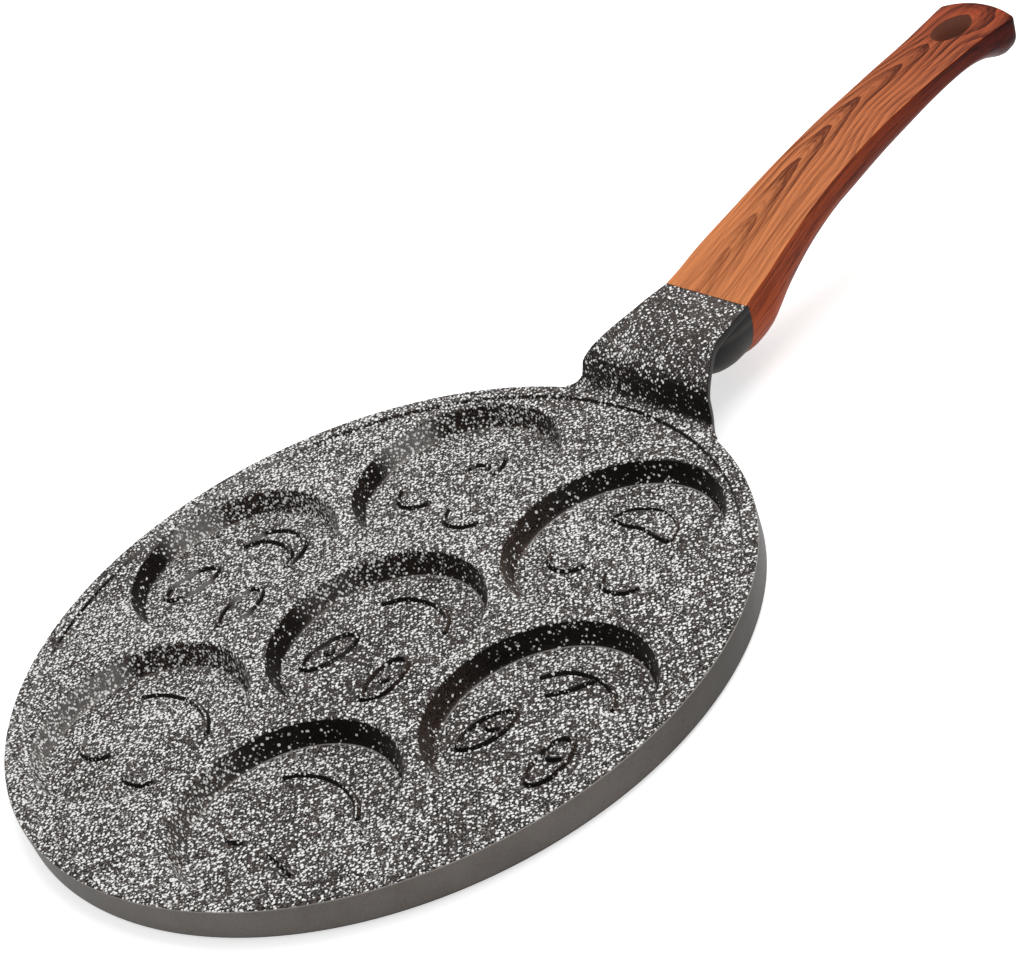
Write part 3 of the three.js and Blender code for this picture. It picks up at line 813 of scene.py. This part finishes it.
def wood_print(colours, grip):
    """Satin wood print: growth rings in nested arches that point to the hanging hole."""
    finish = Finish("wood_look_grip")
    place = finish.place()
    ahead, aside, height = finish.axes(place)
    share = ((ahead - GRIP_LOW.x) / (GRIP_HIGH.x - GRIP_LOW.x)).clamped()
    laid_height = height - (1 - (1 - share) ** 2.2) * grip.rise
    laid = finish.point(ahead, aside, laid_height)
    sides = finish.normal("Z").step_between(0.8, 0.4)

    def streaks(along, across, detail, roughness, shift=(0, 0, 0)):
        """Noise with one scale along the grip and another across it."""
        stretched = finish.mapped(laid, Scale=(along, across, across), Location=shift)
        return finish.noise(stretched, 1, detail, roughness)

    # Arches along the middle of the grip, and rings round the hanging hole
    swell = streaks(16, 26, 2, 0.5) - 0.5
    sway = streaks(9, 4, 2, 0.5, (3, 0, 0)) - 0.5
    jagged = streaks(110, 500, 3, 0.65) - 0.5
    uneven = finish.noise(finish.point(ahead * 28, 0, 0), 1, 1, 0.5)
    off_axis = aside - ARCH_AXIS + sway * ARCH_SWAY
    squared = off_axis * off_axis
    bow = ((squared + ARCH_TIP_RADIUS ** 2) ** 0.5 - ARCH_TIP_RADIUS) * (9 + swell * 9)
    from_hole = ahead - (GRIP_HIGH.x - grip.hole_from_end)
    knot = (from_hole * from_hole * 0.45 + aside * aside) ** 0.5 * 3
    at_end = share.step_between(0.78, 0.92)
    nested = (ahead + bow) * (1 - at_end) + (ahead - from_hole + knot) * at_end
    arches = (nested + (swell + uneven) * ARCH_WANDER + jagged * ARCH_JAGS) / ARCH_PITCH

    # Late wood and fine lines of each ring
    near_axis = squared.step_between(*(reach ** 2 for reach in AXIS_ZONE)) + share.step_between(0.7, 0.95)
    near_axis = near_axis.clamped()
    wave = arches.fraction()
    depth = streaks(50, 60, 2, 0.5) + 0.4
    late = wave.step_between(0.1, 0.93) * wave.step_between(1, 0.93) * depth * (0.7 + near_axis * 0.3)
    inner = (arches * 4).fraction()
    lines = inner.step_between(0.35, 0.9) * inner.step_between(1, 0.88) * (0.25 + near_axis * 0.75)
    strength = 0.2 + share.step_between(0.02, 0.4) * 0.5
    rings = (late + lines * 0.35) * strength * (1 - sides)

    # Fibres, streaks and pores
    fibres = streaks(40, 1500, 4, 0.65)
    pores = streaks(200, 3600, 2, 0.5).step_between(0.62, 0.74)
    leaning = finish.point(ahead, off_axis + aside * share * 0.4, laid_height)
    broad = finish.noise(finish.mapped(leaning, Scale=(5, 170, 170)), 1, 3, 0.6).step_between(0.42, 0.66)
    narrow = finish.noise(finish.mapped(leaning, Scale=(14, 560, 560)), 1, 3, 0.7).step_between(0.48, 0.62)
    grain = rings + (broad * 0.26 + narrow * 0.3) * (1 + sides * 1.1) + (fibres - 0.5) * (1 + sides * 0.5)

    light = finish.mixed(share ** 1.6, colours.wood_light, colours.end_light)
    dark = finish.mixed(share ** 1.6, colours.wood_dark, colours.end_dark)
    wood = finish.mixed(grain.clamped(), light, dark)
    pored = finish.mixed(pores * 0.35, wood, dark)
    # Painted shade: the grip's sides darker than its top, the more so towards its end
    side_shade = finish.mixed(share, linear(203, 148, 115), linear(106, 48, 30))
    return finish.surface({
        "Base Color": finish.mixed(sides, pored, side_shade, "MULTIPLY"),
        "Roughness": 0.36 + 0.14 * fibres,
        "Specular IOR Level": 0.06,
        "Coat Weight": 0.02,
        "Coat Roughness": 0.3,
        "Normal": finish.bump(fibres * 0.6 + late * 0.3, 0.03 * MM),
    })


def dark_core(colours):
    """Bare moulded plastic inside the hole and the screw's recess."""
    finish = Finish("grip_core")
    fine = finish.noise(finish.place(), 1200, 3, 0.6)
    low = tuple(0.75 * value for value in colours.core)
    return finish.surface({
        "Base Color": finish.mixed(fine, low, colours.core),
        "Roughness": 0.5 + 0.15 * fine,
        "Normal": finish.bump(fine, 0.03 * MM),
    })


def turned_steel(name, shade, centre, pitch):
    """Steel with fine turned lines about an upright axis."""
    finish = Finish(name)
    place = finish.place(shift=(-centre[0], -centre[1], 0))
    ahead, aside = finish.axis(place, "X"), finish.axis(place, "Y")
    radius = (ahead * ahead + aside * aside) ** 0.5
    inputs = {"W": radius / pitch, "Scale": 1, "Detail": 4, "Roughness": 0.7}
    lines = finish.node("ShaderNodeTexNoise", {"noise_dimensions": "1D"}, inputs, "Fac")
    stains = finish.noise(place, 70, 3, 0.6)
    low = tuple(0.55 * value for value in shade)
    return finish.surface({
        "Base Color": finish.mixed((lines * 1.4 + stains * 0.6 - 0.5).clamped(), low, shade),
        "Metallic": 1.0,
        "Roughness": 0.22 + 0.2 * lines,
        "Normal": finish.bump(lines, 0.02 * MM),
    })


# Casting


def disc_outline(sizes):
    """Half of the disc's section: base with its recess, wall, lip and land."""
    land = sizes.lip_top - sizes.lip_rise
    foot = sizes.disc_radius - sizes.wall_draft
    inside = sizes.disc_radius - sizes.lip_width
    recess_radius = PLATE_HIGH.x + FIT
    recess_top = PLATE_HIGH.z + FIT
    return rounded([
        (0, recess_top, 0),
        (recess_radius, recess_top, 0),
        (recess_radius, 0, RECESS_EDGE),
        (sizes.base_radius, 0, BASE_EDGE),
        (foot, sizes.base_drop, FOOT_EDGE),
        (sizes.disc_radius, sizes.lip_top, LIP_EDGE),
        (inside, sizes.lip_top, LIP_EDGE),
        (inside - sizes.lip_slope, land, LAND_EDGE),
        (0, land, 0),
    ])


def cup_outline(sizes):
    """Half of a cup's section, with the rounding of its rim, up past the lip."""
    land = sizes.lip_top - sizes.lip_rise
    rim = land + SKIM
    floor_radius = sizes.cup_radius - sizes.cup_draft
    return rounded([
        (0, sizes.cup_floor, 0),
        (floor_radius, sizes.cup_floor, FLOOR_EDGE),
        (sizes.cup_radius, rim, RIM_EDGE),
        (sizes.cup_radius + RIM_MARGIN, rim, 0),
        (sizes.cup_radius + RIM_MARGIN, land + OVERRUN, 0),
        (0, land + OVERRUN, 0),
    ])


def cup_centres(sizes):
    """The middle cup, then the ring of six, anticlockwise from the handle."""
    return [(0, 0)] + around(2 * sizes.cup_radius + sizes.cup_land, 6, 30)


def pip_rods(name, radius, low, high):
    """Rods, as one object, in the places of the small pips that hold the steel plate."""
    places = []
    for ring in PIP_RING_RADII:
        places += around(ring, round(2 * math.pi * ring / PIP_PITCH))
    return joined([rod(name, radius, low, high, place, SMALL_STEPS // 2) for place in places])


def rib_section(sizes, scale):
    """A bell above the floor, with its feet sunk a little below it."""
    half = sizes.rib_width / 2 * scale
    points = [(half, -LINE_SUNK)]
    for i in range(RIB_POINTS):
        across = 1 - 2 * i / (RIB_POINTS - 1)
        height = sizes.rib_height * scale * math.cos(math.pi / 2 * across) ** LINE_ROUNDNESS
        points.append((half * across, height - LINE_FOOT))
    points.append((-half, -LINE_SUNK))
    return points


def rib_rings(sizes, path, scales):
    """Sections of a raised line set square to its path."""
    rings = []
    for i, point in enumerate(path):
        ahead = heading(path, i)
        rings.append([
            (point.x - ahead.y * across, point.y + ahead.x * across, sizes.cup_floor + up)
            for across, up in rib_section(sizes, scales[i])
        ])
    return rings


def stroke(sizes, centre, shares, boldness=1):
    """A raised line with rounded ends through shares of the cup floor's radius."""
    radius = sizes.cup_radius - sizes.cup_draft
    corners = [(centre[0] + along * radius, centre[1] + across * radius) for along, across in shares]
    path = through(corners, STROKE_STEPS)
    half = sizes.rib_width / 2
    scales = []
    for point in path:
        inside = min((point - path[0]).length, (point - path[-1]).length) / half
        scales.append(boldness * max(LINE_END_SHARE, math.sqrt(1 - (1 - min(inside, 1)) ** 2)))
    return skinned("stroke", rib_rings(sizes, path, scales))


def mirrored(shares):
    """The same stroke on the other side of the face."""
    return [(along, -across) for along, across in shares]


def open_eye(sizes, centre, side, with_pupil):
    """An oval ring, leaning out, with or without a pupil in it."""
    radius = sizes.cup_radius - sizes.cup_draft
    middle = Vector(centre) + radius * Vector((OPEN_EYE_PLACE[0], side * OPEN_EYE_PLACE[1]))
    lean = -side * OPEN_EYE_LEAN
    path = []
    for cosine, sine in around(radius, EYE_STEPS):
        along, across = OPEN_EYE_HALF_LENGTH * cosine, OPEN_EYE_HALF_WIDTH * sine
        offset = Vector((
            along * math.cos(lean) - across * math.sin(lean),
            along * math.sin(lean) + across * math.cos(lean),
        ))
        path.append(middle + offset)
    rings = rib_rings(sizes, [path[-1], *path, path[0]], [1] * (EYE_STEPS + 2))[1:-1]
    parts = [skinned("eye", rings, looped=True)]
    if with_pupil:
        sunk = sizes.cup_floor - LINE_SUNK
        outline = [(0, sunk), (PUPIL_RADIUS, sunk)]
        for i in range(RIB_POINTS // 2 + 1):
            turn = math.pi / 2 * i / (RIB_POINTS // 2)
            height = sizes.cup_floor + sizes.rib_height * math.sin(turn)
            outline.append((PUPIL_RADIUS * math.cos(turn), height))
        parts.append(spun("pupil", outline, SMALL_STEPS // 2, middle))
    return parts


def face_parts(sizes, centre, index):
    """The raised lines of one cup's face, in two layers, so that lines in the same one don't cross."""
    def lines(*tables):
        return [stroke(sizes, centre, table) for table in tables]

    def both_eyes(with_pupil=False):
        return open_eye(sizes, centre, 1, with_pupil) + open_eye(sizes, centre, -1, with_pupil)

    closed = (CLOSED_EYE, mirrored(CLOSED_EYE))
    faces = [
        lambda: (both_eyes(True) + lines(SMILE), []),
        lambda: (lines(*closed, KISS_UPPER), lines(KISS_LOWER)),
        lambda: (both_eyes() + lines(CRESCENT_INNER), lines(CRESCENT_OUTER)),
        lambda: (lines(*closed, WIDE_SMILE), []),
        lambda: (lines(SMALL_EYE, WINK, WIDE_SMILE), []),
        lambda: (both_eyes() + lines(LID, SMILE), lines(mirrored(LID), TONGUE)),
        lambda: (lines(*closed, LAUGH_LINE), [stroke(sizes, centre, LAUGH_ARC, THIN_LINE_SHARE)]),
    ]
    return faces[index]()


def neck_half_width(casting, grip, x):
    """Half the width of the neck at a distance along the pan."""
    share = share_at(NECK_WIDTH_SHARES, 1, (x - casting.disc_radius) / casting.neck_length)
    return grip.front_half_width + share * (casting.neck_root - grip.front_half_width)


def neck_piece(casting, grip):
    """The plate that sweeps up from the disc to the seam, with rounded edges."""
    top = through([
        (casting.disc_radius + along * casting.neck_length, casting.lip_top + rise * casting.neck_rise)
        for along, rise in NECK_TOP_SHARES
    ], CURVE_STEPS)
    thickness = casting.neck_thickness
    section = rounded([
        (1, 0, NECK_EDGE),
        (1, thickness, NECK_EDGE),
        (-1, thickness, NECK_EDGE),
        (-1, 0, NECK_EDGE),
    ])
    rings = []
    for i, point in enumerate(top):
        ahead = heading(top, i)
        under = point + Vector((ahead.y, -ahead.x)) * thickness
        if i == len(top) - 1:
            under = point - Vector((0, thickness))
        ring = []
        for across, depth in section:
            place = point.lerp(under, depth / thickness)
            half = neck_half_width(casting, grip, place.x) - (1 - abs(across))
            ring.append((place.x, math.copysign(half, across), place.y))
        rings.append(ring)
    return skinned("neck", rings)


def belly(half_width, top, bottom):
    """Half an oval hung below a line, from one edge round to the other."""
    points = []
    for i in range(BELLY_STEPS + 1):
        turn = math.pi * i / BELLY_STEPS
        points.append((-half_width * math.cos(turn), top - (top - bottom) * math.sin(turn)))
    return points


def grip_profile(grip, along):
    """Half width, height of the top edges and height of the belly at a share of the grip's length."""
    edge = seam_top() + grip.rise * share_at(GRIP_SHARES, 2, along)
    bottom = edge - grip.depth * share_at(GRIP_SHARES, 3, along)
    return grip.front_half_width * share_at(GRIP_SHARES, 1, along), edge, bottom


def seam_top():
    """Height of the neck's top at the seam."""
    casting = bpy.context.scene.pan_casting
    return casting.lip_top + casting.neck_rise


def boss_piece(casting, grip):
    """Rounded boss under the neck, whose end has the front section of the grip."""
    seam = casting.disc_radius + casting.neck_length
    mid_plate = seam_top() - casting.neck_thickness / 2
    bottom = grip_profile(grip, 0)[2]
    rings = []
    for i in range(BOSS_STATIONS + 1):
        back = 1 - i / BOSS_STATIONS
        x = seam - SKIM - (casting.boss_length - SKIM) * back
        rise = share_at(NECK_TOP_SHARES, 1, (x - casting.disc_radius) / casting.neck_length)
        top = casting.lip_top + casting.neck_rise * rise - casting.neck_thickness / 2
        half = grip.front_half_width * share_at(BOSS_SHARES, 1, back)
        low = mid_plate - (mid_plate - bottom) * share_at(BOSS_SHARES, 2, back)
        rings.append([(x, across, up) for across, up in belly(half, top, low)])
    return skinned("boss", rings)


def tang_rings(grip, start, end, margin):
    """Square sections of the straight bar inside the grip, between two distances past the seam."""
    seam = GRIP_LOW.x - FIT
    _, top, low = grip_profile(grip, 0)
    _, far_top, far_low = grip_profile(grip, TANG_LENGTH / (GRIP_HIGH.x - GRIP_LOW.x))
    slope = (far_top + far_low - top - low) / 2 / TANG_LENGTH
    half_height = TANG_HALF_HEIGHT + margin
    half_width = TANG_HALF_WIDTH + margin
    rings = []
    for past in (start, end):
        middle = (top + low) / 2 + slope * past
        corners = [(-1, -1), (1, -1), (1, 1), (-1, 1)]
        rings.append([(seam + past, half_width * a, middle + half_height * b) for a, b in corners])
    return rings


def coat_plain(piece, casting):
    """Gives the outer wall, the underside and the sides of the neck the coating without specks."""
    for face in piece.data.polygons:
        past_disc = math.hypot(face.center.x, face.center.y) - casting.disc_radius
        wall = -WALL_DEPTH < past_disc < SKIM and face.center.z < casting.lip_top
        wall = wall and face.normal.z < WALL_TOP_SHARE
        side = past_disc > SKIM and abs(face.normal.y) > SIDEWAYS_SHARE
        if face.normal.z < -DOWNWARD_SHARE or wall or side:
            face.material_index = 1


class PAN_OT_casting(bpy.types.Operator):
    """Model the casting: disc, lip, cups with their faces, neck, boss and tang"""

    bl_idname = "pan.casting"
    bl_label = "Casting"

    def execute(self, context):
        sizes, grip = context.scene.pan_casting, context.scene.pan_grip
        colours = context.scene.pan_colours
        casting = spun("pan_casting", disc_outline(sizes), DISC_STEPS)
        pips = pip_rods("pip", PIP_RADIUS, 0, PLATE_HIGH.z + 2 * FIT)
        casting = combined(casting, pips, "UNION")

        hollow = spun("cup", cup_outline(sizes), CUP_STEPS)
        hollows = [copied(hollow, centre) for centre in cup_centres(sizes)]
        bpy.data.objects.remove(hollow)
        casting = combined(casting, joined(hollows), "DIFFERENCE")

        faces = [face_parts(sizes, centre, i) for i, centre in enumerate(cup_centres(sizes))]
        for layer in zip(*faces):
            casting = combined(casting, joined(sum(layer, [])), "UNION")

        neck = neck_piece(sizes, grip)
        neck = combined(neck, boss_piece(sizes, grip), "UNION")
        neck = combined(neck, skinned("tang", tang_rings(grip, -TANG_SUNK, TANG_LENGTH, 0)), "UNION")
        hole = rod("hole", SCREW_HOLE_RADIUS, 0, SCREW_HIGH.z + FIT, SCREW_MIDDLE)
        neck = combined(neck, hole, "DIFFERENCE")
        casting = combined(casting, neck, "UNION")

        painted(casting, speckled_coating(colours, sizes), plain_coating(colours))
        coat_plain(casting, sizes)
        finished(casting, "root", "granite_coating", "pan_body")
        return {"FINISHED"}


# Steel plate and fixings


class PAN_OT_base_plate(bpy.types.Operator):
    """Model the steel plate in the base, with the holes that the casting's pips come through"""

    bl_idname = "pan.base_plate"
    bl_label = "Base Plate"

    def execute(self, context):
        outline = rounded([
            (0, 0, 0),
            (PLATE_HIGH.x, 0, PLATE_EDGE),
            (PLATE_HIGH.x, PLATE_HIGH.z, PLATE_EDGE),
            (0, PLATE_HIGH.z, 0),
        ])
        plate = spun("base_disc", outline, DISC_STEPS)
        holes = pip_rods("hole", PIP_RADIUS + FIT, -OVERRUN, OVERRUN)
        plate = combined(plate, holes, "DIFFERENCE")
        shade = context.scene.pan_colours.steel
        painted(plate, turned_steel("base_steel", shade, (0, 0), PLATE_LINE_PITCH))
        finished(plate, "root", "base_steel", "base_plate")
        return {"FINISHED"}


class PAN_OT_fixings(bpy.types.Operator):
    """Give the screw and its washers their zinc plate"""

    bl_idname = "pan.fixings"
    bl_label = "Screw and Washers"

    def execute(self, context):
        zinc = turned_steel("zinc_steel", context.scene.pan_colours.zinc, SCREW_MIDDLE, ZINC_LINE_PITCH)
        for node in ("handle_screw", "spring_washer", "flat_washer"):
            painted(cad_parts[node], zinc)
        return {"FINISHED"}


# Grip


def grip_section(grip, along):
    """Outline across the grip: crowned top, rounded edges, side facets and a round belly."""
    half, edge, bottom = grip_profile(grip, along)
    facet_share = min(1, FRONT_FACET_SHARE + FACET_GROWTH * along)
    crown = grip.crown * along
    corners = []
    for i in range(1, CROWN_STEPS):
        across = 1 - 2 * i / CROWN_STEPS
        corners.append((half * across, edge + crown * (1 - across ** 2), 0))
    corners.append((-half, edge, GRIP_SIDE_EDGE))
    round_belly = belly(half - grip.facet_lean * facet_share, edge - grip.facet * facet_share, bottom)
    corners.append((*round_belly[0], GRIP_SIDE_EDGE))
    corners += [(*point, 0) for point in round_belly[BELLY_TRIM:-BELLY_TRIM]]
    corners.append((*round_belly[-1], GRIP_SIDE_EDGE))
    corners.append((half, edge, GRIP_SIDE_EDGE))
    return rounded(corners)


def grip_rings(grip):
    """Sections from the seam to the end, which is drawn on an arc in plan and rounded over."""
    def ring(along, shrink, short):
        section = grip_section(grip, along)
        middle = sum(section, Vector((0, 0))) / len(section)
        points = []
        for point in section:
            away = point - middle
            place = middle + away * max(0, 1 - shrink / away.length)
            end = GRIP_HIGH.x - (grip.end_radius - math.sqrt(grip.end_radius ** 2 - place.x ** 2))
            x = GRIP_LOW.x + along * (end - GRIP_LOW.x) - short
            points.append((x, place.x, place.y))
        return points

    rings = []
    first = GRIP_FRONT_EDGE / (GRIP_HIGH.x - GRIP_LOW.x)
    for k in range(CAP_STEPS):
        turn = math.pi / 2 * k / CAP_STEPS
        rings.append(ring(first * (1 - math.cos(turn)), GRIP_FRONT_EDGE * (1 - math.sin(turn)), 0))
    for i in range(GRIP_STATIONS + 1):
        rings.append(ring(first + (1 - first) * i / GRIP_STATIONS, 0, GRIP_BACK_EDGE))
    for k in range(1, CAP_STEPS + 1):
        turn = math.pi / 2 * k / CAP_STEPS
        rings.append(ring(1, GRIP_BACK_EDGE * (1 - math.cos(turn)), GRIP_BACK_EDGE * (1 - math.sin(turn))))
    for inset in END_INSETS:
        rings.append(ring(1, inset, 0))
    return rings


def hole_cutter(grip):
    """Oval through hole with a rounded flare at both faces."""
    along = 1 - grip.hole_from_end / (GRIP_HIGH.x - GRIP_LOW.x)
    _, edge, bottom = grip_profile(grip, along)
    top = edge + grip.crown * along
    throat, flare = grip.hole_throat, grip.hole_flare
    widening = (grip.hole_half_length - throat) / flare
    over = grip.hole_half_length + widening * OVERRUN
    outline = rounded([
        (0, bottom - OVERRUN, 0),
        (over, bottom - OVERRUN, 0),
        (throat, bottom + flare, THROAT_EDGE),
        (throat, top - flare, THROAT_EDGE),
        (over, top + OVERRUN, 0),
        (0, top + OVERRUN, 0),
    ], 2 * CORNER_STEPS)
    cutter = spun("hole", outline, 2 * SMALL_STEPS)
    narrowing = (1, grip.hole_half_width / grip.hole_half_length, 1)
    edited(cutter, (bpy.ops.transform.resize, {"value": narrowing, "center_override": (0, 0, 0)}))
    return slid(cutter, (GRIP_HIGH.x - grip.hole_from_end, 0))


class PAN_OT_grip(bpy.types.Operator):
    """Model the grip with its hanging hole and the recess for the screw"""

    bl_idname = "pan.grip"
    bl_label = "Grip"

    def execute(self, context):
        grip, colours = context.scene.pan_grip, context.scene.pan_colours
        piece = skinned("grip", grip_rings(grip))
        painted(piece, wood_print(colours, grip))
        core = dark_core(colours)
        washer_radius = (WASHER_HIGH.y - WASHER_LOW.y) / 2
        cutters = [
            hole_cutter(grip),
            rod("recess", washer_radius + 2 * FIT, 0, WASHER_HIGH.z + FIT, SCREW_MIDDLE),
            rod("clearance", SCREW_HOLE_RADIUS, 0, SCREW_HIGH.z, SCREW_MIDDLE),
            skinned("slot", tang_rings(grip, -OVERRUN, TANG_LENGTH + FIT, FIT)),
        ]
        for cutter in cutters:
            painted(cutter, core)
            piece = combined(piece, cutter, "DIFFERENCE")
        finished(piece, "root", "wood_look_grip", "handle_grip")
        return {"FINISHED"}


# Stage

# The photograph's camera: place in millimetres, turn in degrees, focal length and width in pixels
CAMERA_PLACE = (-317.84, -681.67, 510.82)
CAMERA_TURN = (55.921, 18.5414, -41.5943)
CAMERA_FOCAL_PIXELS = 2761.14
IMAGE_WIDTH = 1024
SENSOR_WIDTH = 36

# Lamps and floor, in metres
LAMP_AIM = (0.05, 0, 0)
TOP_PLACE = (0.55, 0.08, 1.2)
TOP_SIZE = 1.1
FILL_PLACE = (-1.0, -1.0, 0.8)
FILL_SIZE = 0.8
FLOOR_SIZE = 12
FLOOR_GAP = 0.2 * MM
FLOOR_GLOW = 0.6


class StageSettings(bpy.types.PropertyGroup):
    """Light and floor"""

    floor: colour("Floor", "Colour of the floor", 250, 250, 250)
    top_power: power("Top Light", "Power of the light overhead", 11.5)
    fill_power: power("Fill Light", "Power of the light in front", 1.1)
    surround: bpy.props.FloatProperty(
        name="Surround", description="Strength of the light from all round", default=0.38, subtype="FACTOR"
    )


def pale_floor(stage):
    """Pale floor that the camera sees as white, apart from the object's shadow."""
    finish = Finish("floor")
    seen = finish.node("ShaderNodeLightPath", output="Is Camera Ray")
    for ray in ("Is Glossy Ray", "Is Transmission Ray"):
        seen = seen + finish.node("ShaderNodeLightPath", output=ray)
    return finish.surface({
        "Base Color": stage.floor,
        "Roughness": 0.9,
        "Emission Color": (1, 1, 1),
        "Emission Strength": seen.clamped() * FLOOR_GLOW,
    })


def soft_lamp(name, place, size, watts):
    """A square lamp that looks at the pan."""
    bpy.ops.object.light_add(type="AREA", location=place)
    lamp = bpy.context.object
    lamp.name = name
    lamp.rotation_euler = (Vector(LAMP_AIM) - Vector(place)).to_track_quat("-Z", "Y").to_euler()
    lamp.data.size = size
    lamp.data.energy = watts


class PAN_OT_stage(bpy.types.Operator):
    """Set up the floor, the lamps, the surroundings and the camera"""

    bl_idname = "pan.stage"
    bl_label = "Stage"

    def execute(self, context):
        stage = context.scene.pan_stage
        let_go()
        bpy.ops.mesh.primitive_plane_add(size=FLOOR_SIZE, location=(0, 0, -FLOOR_GAP))
        floor = context.object
        floor.name = "floor"
        painted(floor, pale_floor(stage))

        soft_lamp("top_light", TOP_PLACE, TOP_SIZE, stage.top_power)
        soft_lamp("fill_light", FILL_PLACE, FILL_SIZE, stage.fill_power)

        world = bpy.data.worlds.new("surroundings")
        world.use_nodes = True
        tree = world.node_tree
        shade = tree.nodes["Background"]
        shade.inputs["Color"].default_value = (1, 1, 1, 1)
        path = tree.nodes.new("ShaderNodeLightPath")
        lift = tree.nodes.new("ShaderNodeMapRange")
        lift.inputs["To Min"].default_value = stage.surround
        lift.inputs["To Max"].default_value = 1
        tree.links.new(path.outputs["Is Camera Ray"], lift.inputs["Value"])
        tree.links.new(lift.outputs["Result"], shade.inputs["Strength"])
        context.scene.world = world

        bpy.ops.object.camera_add()
        camera = context.object
        camera.name = "camera"
        camera.location = Vector(CAMERA_PLACE) * MM
        camera.rotation_euler = Euler([math.radians(angle) for angle in CAMERA_TURN])
        camera.data.sensor_width = SENSOR_WIDTH
        camera.data.lens = CAMERA_FOCAL_PIXELS * SENSOR_WIDTH / IMAGE_WIDTH
        context.scene.camera = camera
        context.scene.view_settings.view_transform = "Standard"
        return {"FINISHED"}


class PAN_PT_panel(bpy.types.Panel):
    """Builds the pan piece by piece"""

    bl_idname = "PAN_PT_panel"
    bl_label = "Pancake Pan"
    bl_space_type = "VIEW_3D"
    bl_region_type = "UI"
    bl_category = "Pan"

    def draw(self, context):
        for operator in OPERATORS:
            self.layout.operator(operator.bl_idname)
        for group in GROUPS:
            settings = getattr(context.scene, group)
            box = self.layout.box()
            for name in settings.bl_rna.properties.keys():
                if name not in ("rna_type", "name"):
                    box.prop(settings, name)


GROUPS = {
    "pan_casting": CastingSizes,
    "pan_grip": GripSizes,
    "pan_colours": PanColours,
    "pan_stage": StageSettings,
}
OPERATORS = (PAN_OT_casting, PAN_OT_base_plate, PAN_OT_fixings, PAN_OT_grip, PAN_OT_stage)
CLASSES = (*GROUPS.values(), *OPERATORS, PAN_PT_panel)
register_classes, unregister_classes = bpy.utils.register_classes_factory(CLASSES)


def register():
    register_classes()
    for name, group in GROUPS.items():
        setattr(bpy.types.Scene, name, bpy.props.PointerProperty(type=group))


def unregister():
    for name in GROUPS:
        delattr(bpy.types.Scene, name)
    unregister_classes()


def main():
    register()
    bpy.ops.pan.stage()
    bpy.ops.pan.casting()
    bpy.ops.pan.base_plate()
    bpy.ops.pan.fixings()
    bpy.ops.pan.grip()


if __name__ == "__main__":
    main()
